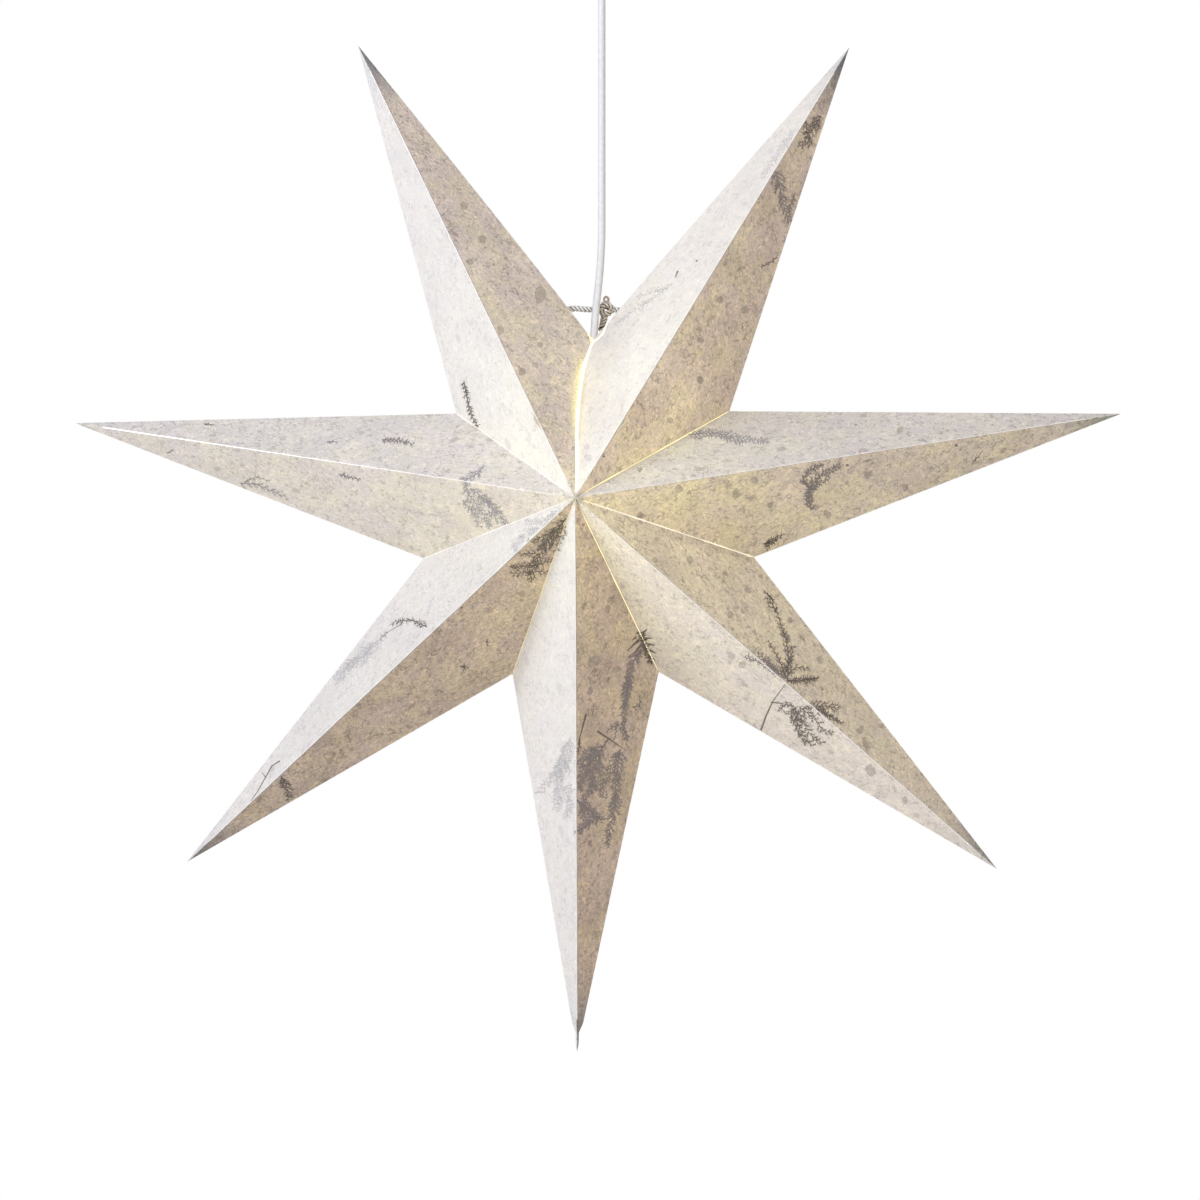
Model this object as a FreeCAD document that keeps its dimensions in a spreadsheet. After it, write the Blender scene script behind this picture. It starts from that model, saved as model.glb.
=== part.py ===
import FreeCAD, Part
import os
import re
from math import atan, cos, pi, radians, sin, sqrt, tan

import Sketcher
from FreeCAD import Rotation, Vector

# A folded paper star, hung as a pendant lamp from a ceiling cup by its white cord.
# Millimetres, +Z up. The origin is on the ceiling, over the cord. The star faces -Y.

document = FreeCAD.newDocument("PaperStar")
sheet = document.addObject("Spreadsheet::Sheet", "Sizes")

DRIVING_SIZES = {
    # Star: seven points round an open seam at the top
    "star_radius": 381.0,
    "star_half_depth": 100.0,
    "point_half_width": 74.4,
    "seam_valley_radius": 127.0,
    # Degrees from one point's axis to the next, clockwise from the seam
    "seam_spread": 55.6,
    "spread_one": 50.6,
    "spread_two": 51.4,
    "spread_three": 49.8,
    "spread_four": 48.0,
    "spread_five": 51.1,
    "seam_gap": 1.6,
    "seam_lean": 1.6,
    "paper": 0.5,
    "flap_width": 7.0,
    "flap_end": 9.0,
    "seam_strip_width": 13.0,
    "centre_hole": 1.6,
    "mouth_reach": 5.6,
    "star_drop": 430.0,
    # Twine that ties the two end points together over the mouth
    "twine_radius": 1.5,
    "twine_hole_radius": 1.9,
    "twine_rise": 18.0,
    "twine_setback": 8.5,
    "knot_side": 11.0,
    "knot_size": 2.4,
    # Cord
    "cord_radius": 2.7,
    "cord_clearance": 0.3,
    "cord_lean": 6.0,
    "lean_run": 50.0,
    "lean_rise": 21.0,
    "core_radius": 0.9,
    "core_spacing": 2.34,
    "core_rise": 7.0,
    # Ceiling fitting
    "bracket_sheet": 1.5,
    "bracket_width": 18.0,
    "bracket_ear": 14.0,
    "screw_inset": 10.25,
    "ceiling_screw_hole": 2.4,
    "cable_hole": 6.0,
    "cup_radius": 45.0,
    "cup_height": 32.0,
    "cup_wall": 1.5,
    "cup_screw_radius": 1.7,
    "cup_screw_head": 3.2,
    "cup_screw_drop": 8.0,
    "slot_width": 0.5,
    "gland_thread": 5.0,
    "gland_flange": 8.0,
    "gland_flange_height": 3.0,
    "gland_length": 14.0,
    "gland_throat": 6.0,
    "nut_flats": 14.0,
    "nut_height": 3.0,
    "nut_clearance": 0.05,
    "swing_limit": 20.0,
    "pivot_gap": 1.0,
    "terminal_length": 20.0,
    "terminal_width": 15.0,
    "terminal_height": 13.0,
    "terminal_bore": 1.5,
    "terminal_pitch": 7.2,
    "terminal_screw_radius": 1.3,
    # Lampholder
    "holder_radius": 14.0,
    "holder_wall": 1.6,
    "holder_length": 46.0,
    "holder_clearance": 0.3,
    "groove_radius": 0.9,
    "paper_seat_gap": 0.3,
    "cap_height": 20.0,
    "cap_top_radius": 6.5,
    "cap_shoulder": 3.0,
    "grip_radius": 4.7,
    "grip_height": 6.0,
    "carrier_height": 8.0,
    "contact_pitch": 8.6,
    "shell_radius": 7.4,
    "shell_sheet": 0.35,
    "shell_length": 22.0,
    # Bulb
    "bulb_radius": 22.5,
    "bulb_length": 78.0,
    "bulb_cap_radius": 6.9,
    "bulb_cap_length": 19.0,
    "bulb_cap_sheet": 0.3,
    "bulb_cap_bevel": 1.5,
    "bulb_tip_radius": 2.4,
    "bulb_tip_height": 2.2,
    "glass_wall": 0.8,
    "glass_neck_radius": 8.4,
    "stem_radius": 3.6,
    "stem_waist": 1.8,
    "filament_length": 26.0,
    "filament_radius": 0.9,
    "filament_spread": 7.9,
    "filament_overlap": 3.9,
}

STAR_POINTS = 7
FILAMENTS = 4
GROOVE_COUNT = 28
# How far up the ball of the bulb its neck starts, as a share of the ball's radius
NECK_START = 0.82

for row, (alias, size) in enumerate(DRIVING_SIZES.items(), start=1):
    sheet.set(f"A{row}", alias)
    sheet.set(f"B{row}", str(size))
    sheet.setAlias(f"B{row}", alias)
document.recompute()

FUNCTIONS = ("sqrt", "tan", "sin", "cos", "deg")
# Where an outline's corners wait until their formulas place them
ROUGH_RADIUS = 20
subparts = []


def size_of(alias):
    return float(sheet.get(alias))


def bound(formula):
    """The same formula, with each size read from the spreadsheet."""
    return re.sub(
        r"[a-z_]+[a-z]",
        lambda word: word.group() if word.group() in FUNCTIONS else "Sizes." + word.group(),
        formula,
    )


def finished(subpart, name):
    subpart.Label = name
    subparts.append(subpart)
    return subpart


def origin_plane(body, role):
    return next(item for item in body.Origin.OriginFeatures if item.Role == role)


def sketch_on(body, name, role):
    sketch = body.newObject("Sketcher::SketchObject", name)
    sketch.AttachmentSupport = [(origin_plane(body, role), "")]
    sketch.MapMode = "FlatFace"
    return sketch


def draw_outline(sketch, corners):
    """A closed outline whose corners stand at the given formulas from the sketch's origin."""
    count = len(corners)
    turns = [2 * pi * i / count for i in range(count)]
    rough = [Vector(ROUGH_RADIUS * cos(turn), ROUGH_RADIUS * sin(turn), 0) for turn in turns]
    for i in range(count):
        sketch.addGeometry(Part.LineSegment(rough[i], rough[(i + 1) % count]), False)
    for i in range(count):
        sketch.addConstraint(Sketcher.Constraint("Coincident", i, 2, (i + 1) % count, 1))
    for i, corner in enumerate(corners):
        for kind, side, formula in zip(("DistanceX", "DistanceY"), "xy", corner):
            near = rough[i].x if side == "x" else rough[i].y
            place = sketch.addConstraint(Sketcher.Constraint(kind, i, 1, near))
            sketch.renameConstraint(place, f"{side}{i}")
            sketch.setExpression(f"Constraints.{side}{i}", bound(formula))


def draw_circle(sketch, tag, radius, across="0", up="0"):
    circle = sketch.addGeometry(Part.Circle(Vector(1, 1, 0), Vector(0, 0, 1), 3), False)
    for kind, point, formula in (
        ("DistanceX", 3, across),
        ("DistanceY", 3, up),
        ("Radius", None, radius),
    ):
        if point is None:
            number = sketch.addConstraint(Sketcher.Constraint(kind, circle, 3.0))
        else:
            number = sketch.addConstraint(Sketcher.Constraint(kind, circle, point, 1.0))
        sketch.renameConstraint(number, f"{tag}{kind}")
        sketch.setExpression(f"Constraints.{tag}{kind}", bound(formula))


def set_place(subpart, across="0", up="0"):
    subpart.setExpression("Placement.Base.x", bound(across))
    subpart.setExpression("Placement.Base.z", bound(up))


def round_edges(body, name, radius, wanted):
    """Rounds the edges of the body's last feature that the test picks."""
    document.recompute()
    base = body.Tip
    edges = [
        f"Edge{i}" for i, edge in enumerate(base.Shape.Edges, start=1) if wanted(edge)
    ]
    rounding = body.newObject("PartDesign::Fillet", name)
    rounding.Base = (base, edges)
    rounding.setExpression("Radius", bound(radius))
    return rounding


def circle_at(radius, height):
    """Picks a full circle of that radius at that height in the body's own frame."""

    def test(edge):
        curve = edge.Curve
        return (
            isinstance(curve, Part.Circle)
            and abs(curve.Radius - radius) < 0.01
            and abs(curve.Center.z - height) < 0.01
        )

    return test


def turned(name, corners, across="0", up="0"):
    """A body of revolution about Z. Corners are (radius, height) formulas."""
    body = document.addObject("PartDesign::Body", name)
    profile = sketch_on(body, name + "_profile", "XZ_Plane")
    draw_outline(profile, corners)
    turning = body.newObject("PartDesign::Revolution", name + "_turning")
    turning.Profile = profile
    turning.ReferenceAxis = (profile, ["V_Axis"])
    turning.Angle = 360
    set_place(body, across, up)
    return finished(body, name)


def raised(body, name, sketch, height):
    """A pad of that height, half of it on each side of its sketch."""
    pad = body.newObject("PartDesign::Pad", name)
    pad.Profile = sketch
    pad.setExpression("Length", bound(height))
    pad.Midplane = True
    return pad


def cut_through(body, name, sketch):
    """A pocket right through the body, both ways from its sketch."""
    before = body.Tip.Shape.Volume if body.Tip else 0
    pocket = body.newObject("PartDesign::Pocket", name)
    pocket.Profile = sketch
    pocket.Type = "ThroughAll"
    pocket.Midplane = True
    document.recompute()
    if pocket.Shape.Volume >= before:
        raise RuntimeError(name + " cuts nothing")
    return pocket


def primitive(kind, name, place=None, turn=None, **formulas):
    piece = document.addObject("Part::" + kind, name)
    if turn is not None:
        piece.Placement.Rotation = turn
    for key, formula in formulas.items():
        piece.setExpression(key, bound(formula))
    for axis, formula in zip("xyz", place or ()):
        piece.setExpression(f"Placement.Base.{axis}", bound(formula))
    return piece


def joined(name, pieces):
    fuse = document.addObject("Part::MultiFuse", name)
    fuse.Shapes = pieces
    return fuse


def cut_from(name, base, tools):
    cut = document.addObject("Part::Cut", name)
    cut.Base = base
    cut.Tool = tools[0] if len(tools) == 1 else joined(name + "_tools", tools)
    return cut


def shaped(name, shape, x=0.0, z=0.0, turn=None):
    feature = document.addObject("Part::Feature", name)
    feature.Shape = shape
    feature.Placement = FreeCAD.Placement(Vector(x, 0, z), turn or Rotation())
    return finished(feature, name)


# Places that several sub-parts share

LAMP_X = "-cord_lean"
CAP_ROUND = 0.6
BRACKET_REACH = "sqrt((cup_radius - cup_wall - cord_clearance)^2 - (bracket_width / 2)^2)"
lamp_x = -size_of("cord_lean")
star_z = -size_of("star_drop")
seam_lean = radians(size_of("seam_lean"))
star_x = lamp_x - size_of("seam_valley_radius") * sin(seam_lean)


spreads = [
    radians(size_of("seam_spread")),
    radians(size_of("spread_one")),
    radians(size_of("spread_two")),
    radians(size_of("spread_three")),
    radians(size_of("spread_four")),
    radians(size_of("spread_five")),
]
spreads.append(2 * pi - sum(spreads))
half_seam = spreads[0] / 2
seam_reach = size_of("seam_valley_radius")
seam_flank = size_of("star_radius") * seam_reach * sin(half_seam)
seam_flank /= size_of("star_radius") - seam_reach * cos(half_seam)


def facet_distance(flank):
    """Distance from the star's centre to a facet of that flank width."""
    reach = (size_of("star_radius"), size_of("star_half_depth"), flank)
    return 1 / sqrt(sum(1 / length**2 for length in reach))


# How the facet right of the seam slopes: it is where this, dotted with a place, is one
seam_slope = Vector(
    sin(half_seam) / size_of("star_radius") - cos(half_seam) / seam_flank,
    1 / size_of("star_half_depth"),
    cos(half_seam) / size_of("star_radius") + sin(half_seam) / seam_flank,
)


def cap_rim_height():
    """Height over the star's centre at which the cap's rounded rim bears under the seam."""
    rounding = size_of("holder_wall") * CAP_ROUND
    cone = atan(size_of("cap_shoulder") / (size_of("holder_radius") - size_of("cap_top_radius")))
    below_rim = rounding * tan((pi / 2 - cone) / 2)
    lining = 2 * size_of("paper") + size_of("paper_seat_gap")
    rest = 1 - lining / facet_distance(seam_flank) - seam_slope.x * size_of("seam_gap") / 2
    rest -= seam_slope.y * (size_of("holder_radius") - rounding)
    rest -= rounding * sqrt(seam_slope.y**2 + seam_slope.z**2)
    return rest / seam_slope.z + below_rim


# The lampholder's cap sits just under the paper and its lining strips

holder_top_z = star_z + cap_rim_height() + size_of("cap_shoulder")

sheet.set("D1", "holder_top")
sheet.set("E1", str(holder_top_z))
sheet.setAlias("E1", "holder_top")
document.recompute()


# Ceiling fitting


def make_ceiling_bracket():
    """A strip of sheet steel with its ends bent down, for the cup's side screws."""
    body = document.addObject("PartDesign::Body", "ceiling_bracket")
    side = sketch_on(body, "bracket_side", "XZ_Plane")
    draw_outline(
        side,
        [
            ("-" + BRACKET_REACH, "0"),
            (BRACKET_REACH, "0"),
            (BRACKET_REACH, "-bracket_ear"),
            (BRACKET_REACH + " - bracket_sheet", "-bracket_ear"),
            (BRACKET_REACH + " - bracket_sheet", "-bracket_sheet"),
            ("bracket_sheet - " + BRACKET_REACH, "-bracket_sheet"),
            ("bracket_sheet - " + BRACKET_REACH, "-bracket_ear"),
            ("-" + BRACKET_REACH, "-bracket_ear"),
        ],
    )
    raised(body, "bracket_strip", side, "bracket_width")
    holes = sketch_on(body, "bracket_holes", "XY_Plane")
    draw_circle(holes, "cable", "cable_hole")
    draw_circle(holes, "left", "ceiling_screw_hole", "screw_inset - " + BRACKET_REACH)
    draw_circle(holes, "right", "ceiling_screw_hole", BRACKET_REACH + " - screw_inset")
    document.recompute()
    cut_through(body, "bracket_drilling", holes)
    ears = sketch_on(body, "ear_holes", "YZ_Plane")
    draw_circle(ears, "ear", "cup_screw_radius", "0", "-cup_screw_drop")
    cut_through(body, "ear_drilling", ears)
    finished(body, "ceiling_bracket")


def make_canopy_cup():
    """The spun cup that covers the bracket, with its rounded bottom and a hole for the gland."""
    body = turned(
        "canopy_cup",
        [
            ("gland_thread + cord_clearance / 3", "-cup_height"),
            ("cup_radius", "-cup_height"),
            ("cup_radius", "0"),
            ("cup_radius - cup_wall", "0"),
            ("cup_radius - cup_wall", "cup_wall - cup_height"),
            ("gland_thread + cord_clearance / 3", "cup_wall - cup_height"),
        ],
    )
    radius, height, wall = size_of("cup_radius"), size_of("cup_height"), size_of("cup_wall")
    round_edges(body, "cup_outer_round", "6 * cup_wall", circle_at(radius, -height))
    round_edges(body, "cup_inner_round", "5 * cup_wall", circle_at(radius - wall, wall - height))
    screws = sketch_on(body, "cup_screw_holes", "YZ_Plane")
    draw_circle(screws, "screw", "cup_screw_radius + cord_clearance", "0", "-cup_screw_drop")
    document.recompute()
    cut_through(body, "cup_drilling", screws)


def make_cup_screws():
    """Two slotted pan-head screws, through the cup's side into the bracket's ears."""
    length = f"(cup_radius - {BRACKET_REACH} + bracket_sheet)"
    screws = []
    for side, sign, turn in (("left", "-", -90), ("right", "", 90)):
        along = Rotation(Vector(0, 1, 0), turn)
        shank = primitive(
            "Cylinder",
            side + "_shank",
            (f"{sign}(cup_radius - {length})", "0", "-cup_screw_drop"),
            along,
            Radius="cup_screw_radius - cord_clearance / 10",
            Height=length,
        )
        head = primitive(
            "Cone",
            side + "_head",
            (f"{sign}cup_radius", "0", "-cup_screw_drop"),
            along,
            Radius1="cup_screw_head",
            Radius2="cup_screw_head - slot_width * 2",
            Height="cup_screw_radius",
        )
        slot = primitive(
            "Box",
            side + "_slot",
            (
                f"{sign}(cup_radius + cup_screw_radius * {'1.5' if sign else '0.5'})",
                "-slot_width",
                "-cup_screw_drop - cup_screw_head",
            ),
            Length="cup_screw_radius",
            Width="2 * slot_width",
            Height="2 * cup_screw_head",
        )
        screws.append(cut_from(side + "_screw", joined(side + "_blank", [shank, head]), [slot]))
    finished(joined("cup_screws", screws), "cup_screws")


def make_cord_gland():
    """A moulded gland with a bell mouth, so that the cord bends gently where it swings."""
    throat = "-cup_height - gland_flange_height - gland_throat"
    bottom = "-cup_height - gland_flange_height - gland_length"
    bore = "(cord_radius + cord_clearance)"
    mouth = bore + " + (gland_length - gland_throat) * tan(swing_limit * 1deg) + cord_clearance"
    body = turned(
        "cord_gland",
        [
            (bore, "nut_height * 2 - cup_height"),
            ("gland_thread", "nut_height * 2 - cup_height"),
            ("gland_thread", "-cup_height"),
            ("gland_flange", "-cup_height"),
            ("gland_flange", "-cup_height - gland_flange_height"),
            ("gland_flange - cup_wall", bottom),
            (mouth, bottom),
            (bore, throat),
        ],
    )
    flange = circle_at(size_of("gland_flange"), -size_of("cup_height") - size_of("gland_flange_height"))
    round_edges(body, "gland_round", "cup_wall / 2", flange)


def make_gland_nut():
    """The thin hexagon nut that clamps the gland in the cup's bottom."""
    block = primitive(
        "Prism",
        "nut_block",
        ("0", "0", "cup_wall - cup_height"),
        Circumradius="nut_flats / sqrt(3)",
        Height="nut_height",
    )
    block.Polygon = 6
    thread = primitive(
        "Cylinder",
        "nut_thread",
        ("0", "0", "-cup_height"),
        Radius="gland_thread + nut_clearance",
        Height="cup_height",
    )
    finished(cut_from("gland_nut", block, [thread]), "gland_nut")


def make_terminal_block():
    """A two-way terminal block under the bracket, with its wire bores and its screws."""
    left = "(cable_hole + cord_radius)"
    block = primitive(
        "Box",
        "terminal_moulding",
        (left, "-terminal_width / 2", "-bracket_sheet - terminal_height"),
        Length="terminal_length",
        Width="terminal_width",
        Height="terminal_height",
    )
    bores = []
    screws = []
    for number, sign in enumerate(("-", ""), start=1):
        across = f"{sign}terminal_pitch / 2"
        bores.append(
            primitive(
                "Cylinder",
                f"wire_bore_{number}",
                (left + " - 1", across, "-bracket_sheet - terminal_height / 2"),
                Rotation(Vector(0, 1, 0), 90),
                Radius="terminal_bore",
                Height="terminal_length + 2",
            )
        )
        for place in ("0.25", "0.75"):
            spot = (f"{left} + terminal_length * {place}", across)
            well = f"{number}_{place[2:]}"
            bores.append(
                primitive(
                    "Cylinder",
                    "screw_well_" + well,
                    (*spot, "-bracket_sheet - terminal_height - 1"),
                    Radius="terminal_screw_radius + cord_clearance / 3",
                    Height="terminal_height / 2 + 1",
                )
            )
            body = primitive(
                "Cylinder",
                "terminal_screw_body_" + well,
                (*spot, "-bracket_sheet - terminal_height + 1"),
                Radius="terminal_screw_radius",
                Height="terminal_height / 2 - 1 - terminal_bore + cord_clearance",
            )
            slot = primitive(
                "Box",
                "terminal_screw_slot_" + well,
                (
                    spot[0] + " - 2 * terminal_screw_radius",
                    spot[1] + " - slot_width / 2",
                    "-bracket_sheet - terminal_height + slot_width",
                ),
                Length="4 * terminal_screw_radius",
                Width="slot_width",
                Height="2 * slot_width",
            )
            screws.append(cut_from("terminal_screw_" + well, body, [slot]))
    finished(cut_from("terminal_block", block, bores), "terminal_block")
    finished(joined("terminal_screws", screws), "terminal_screws")


# Cord and wires


def rounded_path(points, tightest):
    """Straight runs joined by tangent arcs, each as large as its two runs allow."""
    edges = []
    start = points[0]
    for before, corner, after in zip(points, points[1:], points[2:]):
        to_corner = (corner - before).normalize()
        away = (after - corner).normalize()
        turn = to_corner.getAngle(away)
        trim = 0.45 * min(before.distanceToPoint(corner), corner.distanceToPoint(after))
        radius = trim / tan(turn / 2)
        if radius < tightest:
            raise RuntimeError("a bend is tighter than the cord allows")
        print("bend radius", round(radius, 1))
        enter = corner - to_corner * trim
        leave = corner + away * trim
        inward = (away - to_corner).normalize()
        middle = corner + inward * (radius / cos(turn / 2) - radius)
        edges.append(Part.LineSegment(start, enter).toShape())
        edges.append(Part.Arc(enter, middle, leave).toShape())
        start = leave
    edges.append(Part.LineSegment(start, points[-1]).toShape())
    return Part.Wire(edges)


def tube(points, radius, tightest=0.0):
    """A round wire along the rounded path, checked against its section times its length."""
    if len(points) == 2:
        return Part.makeCylinder(radius, points[0].distanceToPoint(points[1]), points[0],
                                 points[1] - points[0])
    path = rounded_path(points, tightest)
    along = points[1] - points[0]
    ring = Part.Wire([Part.Edge(Part.Circle(points[0], along, radius))])
    solid = path.makePipeShell([ring], True, False)
    wanted = pi * radius**2 * path.Length
    if abs(solid.Volume - wanted) > 0.01 * wanted:
        raise RuntimeError("a tube's volume is off")
    return solid


pivot_z = -(
    size_of("cup_height") + size_of("gland_flange_height") + size_of("gland_throat")
)
cord_end_z = holder_top_z - size_of("holder_wall") - size_of("cord_clearance")


def make_cord():
    """The free cord: straight down from the gland, then leaning into the star's mouth."""
    lean_end_z = holder_top_z + size_of("lean_rise")
    points = [
        Vector(0, 0, pivot_z),
        Vector(0, 0, lean_end_z + size_of("lean_run")),
        Vector(lamp_x, 0, lean_end_z),
        Vector(lamp_x, 0, cord_end_z),
    ]
    shaped("cord", tube(points, size_of("cord_radius"), 5 * 2 * size_of("cord_radius")))


def make_cord_tail():
    """The end of the cord that the gland holds, and its two cores up to the terminal block."""
    stripped_z = size_of("nut_height") * 3 - size_of("cup_height")
    sheath = tube(
        [Vector(0, 0, pivot_z + size_of("pivot_gap")), Vector(0, 0, stripped_z)],
        size_of("cord_radius"),
    )
    shaped("cord_tail", sheath)
    cores = []
    entry_x = size_of("cable_hole") + size_of("cord_radius")
    bore_z = -size_of("bracket_sheet") - size_of("terminal_height") / 2
    for sign in (-1, 1):
        side = sign * size_of("core_spacing") / 2
        across = sign * size_of("terminal_pitch") / 2
        cores.append(
            tube(
                [
                    Vector(0, side, stripped_z),
                    Vector(0, side, stripped_z + size_of("core_rise")),
                    Vector(entry_x / 2, across, bore_z),
                    Vector(entry_x + size_of("terminal_length") / 4, across, bore_z),
                ],
                size_of("core_radius"),
            )
        )
    shaped("tail_cores", Part.makeCompound(cores))


# Lampholder


def make_lampholder():
    """The mouldings of an E14 cord-grip lampholder: its collar, cap and skirted body."""
    shell_end = "-cap_height - 2 * holder_clearance - shell_length"
    turned(
        "cord_grip",
        [
            ("cord_radius + cord_clearance", "0"),
            ("grip_radius", "0"),
            ("grip_radius", "grip_height - cap_shoulder / 4"),
            ("grip_radius - cap_shoulder / 4", "grip_height"),
            ("cord_radius + cord_clearance", "grip_height"),
        ],
        LAMP_X,
        "holder_top",
    )
    cap = turned(
        "lampholder_cap",
        [
            ("cord_radius + cord_clearance", "0"),
            ("cap_top_radius", "0"),
            ("holder_radius", "-cap_shoulder"),
            ("holder_radius", "-cap_height"),
            ("holder_radius - holder_wall", "-cap_height"),
            ("holder_radius - holder_wall", "-cap_shoulder - holder_wall"),
            ("cap_top_radius - holder_wall / 2", "-holder_wall"),
            ("cord_radius + cord_clearance", "-holder_wall"),
        ],
        LAMP_X,
        "holder_top",
    )
    rim = circle_at(size_of("holder_radius"), -size_of("cap_shoulder"))
    round_edges(cap, "cap_round", f"holder_wall * {CAP_ROUND}", rim)
    body = turned(
        "lampholder_body",
        [
            ("shell_radius + shell_sheet + holder_clearance", "-cap_height - cap_shoulder"),
            ("holder_radius - holder_wall - holder_clearance", "-cap_height - cap_shoulder"),
            ("holder_radius - holder_wall - holder_clearance", "holder_wall * 3 - cap_height"),
            ("holder_radius - 2 * holder_wall - holder_clearance", "holder_wall * 3 - cap_height"),
            ("holder_radius - 2 * holder_wall - holder_clearance", "-cap_height"),
            ("shell_radius + shell_sheet + holder_clearance", "-cap_height"),
        ],
        LAMP_X,
        "holder_top",
    )
    skirt = sketch_on(body, "skirt_profile", "XZ_Plane")
    draw_outline(
        skirt,
        [
            ("shell_radius + shell_sheet + holder_clearance", "-cap_height - cord_clearance"),
            ("holder_radius", "-cap_height - cord_clearance"),
            ("holder_radius", "-cap_height - 3 * holder_wall"),
            ("holder_radius - holder_wall", "-cap_height - 4 * holder_wall"),
            ("glass_neck_radius + 2 * holder_wall", "-holder_length"),
            ("glass_neck_radius + holder_wall", "-holder_length"),
            ("glass_neck_radius + holder_wall", shell_end + " - holder_clearance"),
            ("shell_radius + shell_sheet + holder_clearance", shell_end + " - holder_clearance"),
        ],
    )
    turning = body.newObject("PartDesign::Revolution", "skirt_turning")
    turning.Profile = skirt
    turning.ReferenceAxis = (skirt, ["V_Axis"])
    turning.Angle = 360
    knurl(body)


def knurl(body):
    """The finger grooves round the top band of the lampholder's skirt."""
    groove = sketch_on(body, "groove_profile", "XY_Plane")
    draw_circle(groove, "groove", "groove_radius", "holder_radius + groove_radius / 4")
    document.recompute()
    pocket = cut_through(body, "groove", groove)
    around = body.newObject("PartDesign::PolarPattern", "grooves")
    around.Originals = [pocket]
    around.Axis = (origin_plane(body, "Z_Axis"), [""])
    around.Angle = 360
    around.Occurrences = GROOVE_COUNT
    body.Tip = around


def make_contacts():
    """Inside the lampholder: the moulded carrier, the brass shell, and the spring contacts."""
    carrier_top = "-cap_height + 2 * holder_wall"
    turned(
        "contact_carrier",
        [
            ("0", "-cap_height - holder_clearance"),
            ("shell_radius + shell_sheet", "-cap_height - holder_clearance"),
            ("shell_radius + shell_sheet", "-cap_height + carrier_height / 2"),
            ("shell_radius - holder_wall", "-cap_height + carrier_height"),
            ("0", "-cap_height + carrier_height"),
        ],
        LAMP_X,
        "holder_top",
    )
    turned(
        "socket_shell",
        [
            ("shell_radius", "-cap_height - 2 * holder_clearance"),
            ("shell_radius + shell_sheet", "-cap_height - 2 * holder_clearance"),
            ("shell_radius + shell_sheet", "-cap_height - 2 * holder_clearance - shell_length"),
            ("shell_radius", "-cap_height - 2 * holder_clearance - shell_length"),
        ],
        LAMP_X,
        "holder_top",
    )
    blade = primitive(
        "Box",
        "contact_blade",
        (
            f"{LAMP_X} - bulb_tip_radius",
            "-bulb_tip_radius / 2",
            "holder_top - cap_height - 2 * holder_clearance - 3 * shell_sheet",
        ),
        Length="2 * bulb_tip_radius",
        Width="bulb_tip_radius",
        Height="2 * shell_sheet",
    )
    rivet = primitive(
        "Cylinder",
        "contact_rivet",
        (LAMP_X, "0", "holder_top - cap_height - 2 * holder_clearance - 2 * shell_sheet"),
        Radius="bulb_tip_radius / 2",
        Height="2 * shell_sheet + holder_clearance - nut_clearance",
    )
    finished(joined("centre_contact", [blade, rivet]), "centre_contact")
    cores = []
    screws = []
    carrier_z = holder_top_z - size_of("cap_height") + size_of("carrier_height")
    seat = size_of("contact_pitch") / 2
    clear = size_of("cord_clearance")
    for sign in (-1, 1):
        start = Vector(lamp_x + sign * size_of("core_spacing") / 2, 0, cord_end_z - clear)
        end = Vector(lamp_x + sign * seat, 0, carrier_z + clear)
        straight = (start.z - end.z) / 3
        knee = Vector(start.x, 0, start.z - straight)
        ankle = Vector(end.x, 0, end.z + straight)
        cores.append(tube([start, knee, ankle, end], size_of("core_radius")))
        screws.append(
            Part.makeCylinder(
                size_of("terminal_screw_radius"),
                2 * size_of("holder_wall"),
                Vector(lamp_x, sign * seat, carrier_z),
            )
        )
    shaped("holder_cores", Part.makeCompound(cores))
    shaped("contact_screws", Part.makeCompound(screws))


# Bulb


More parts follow.
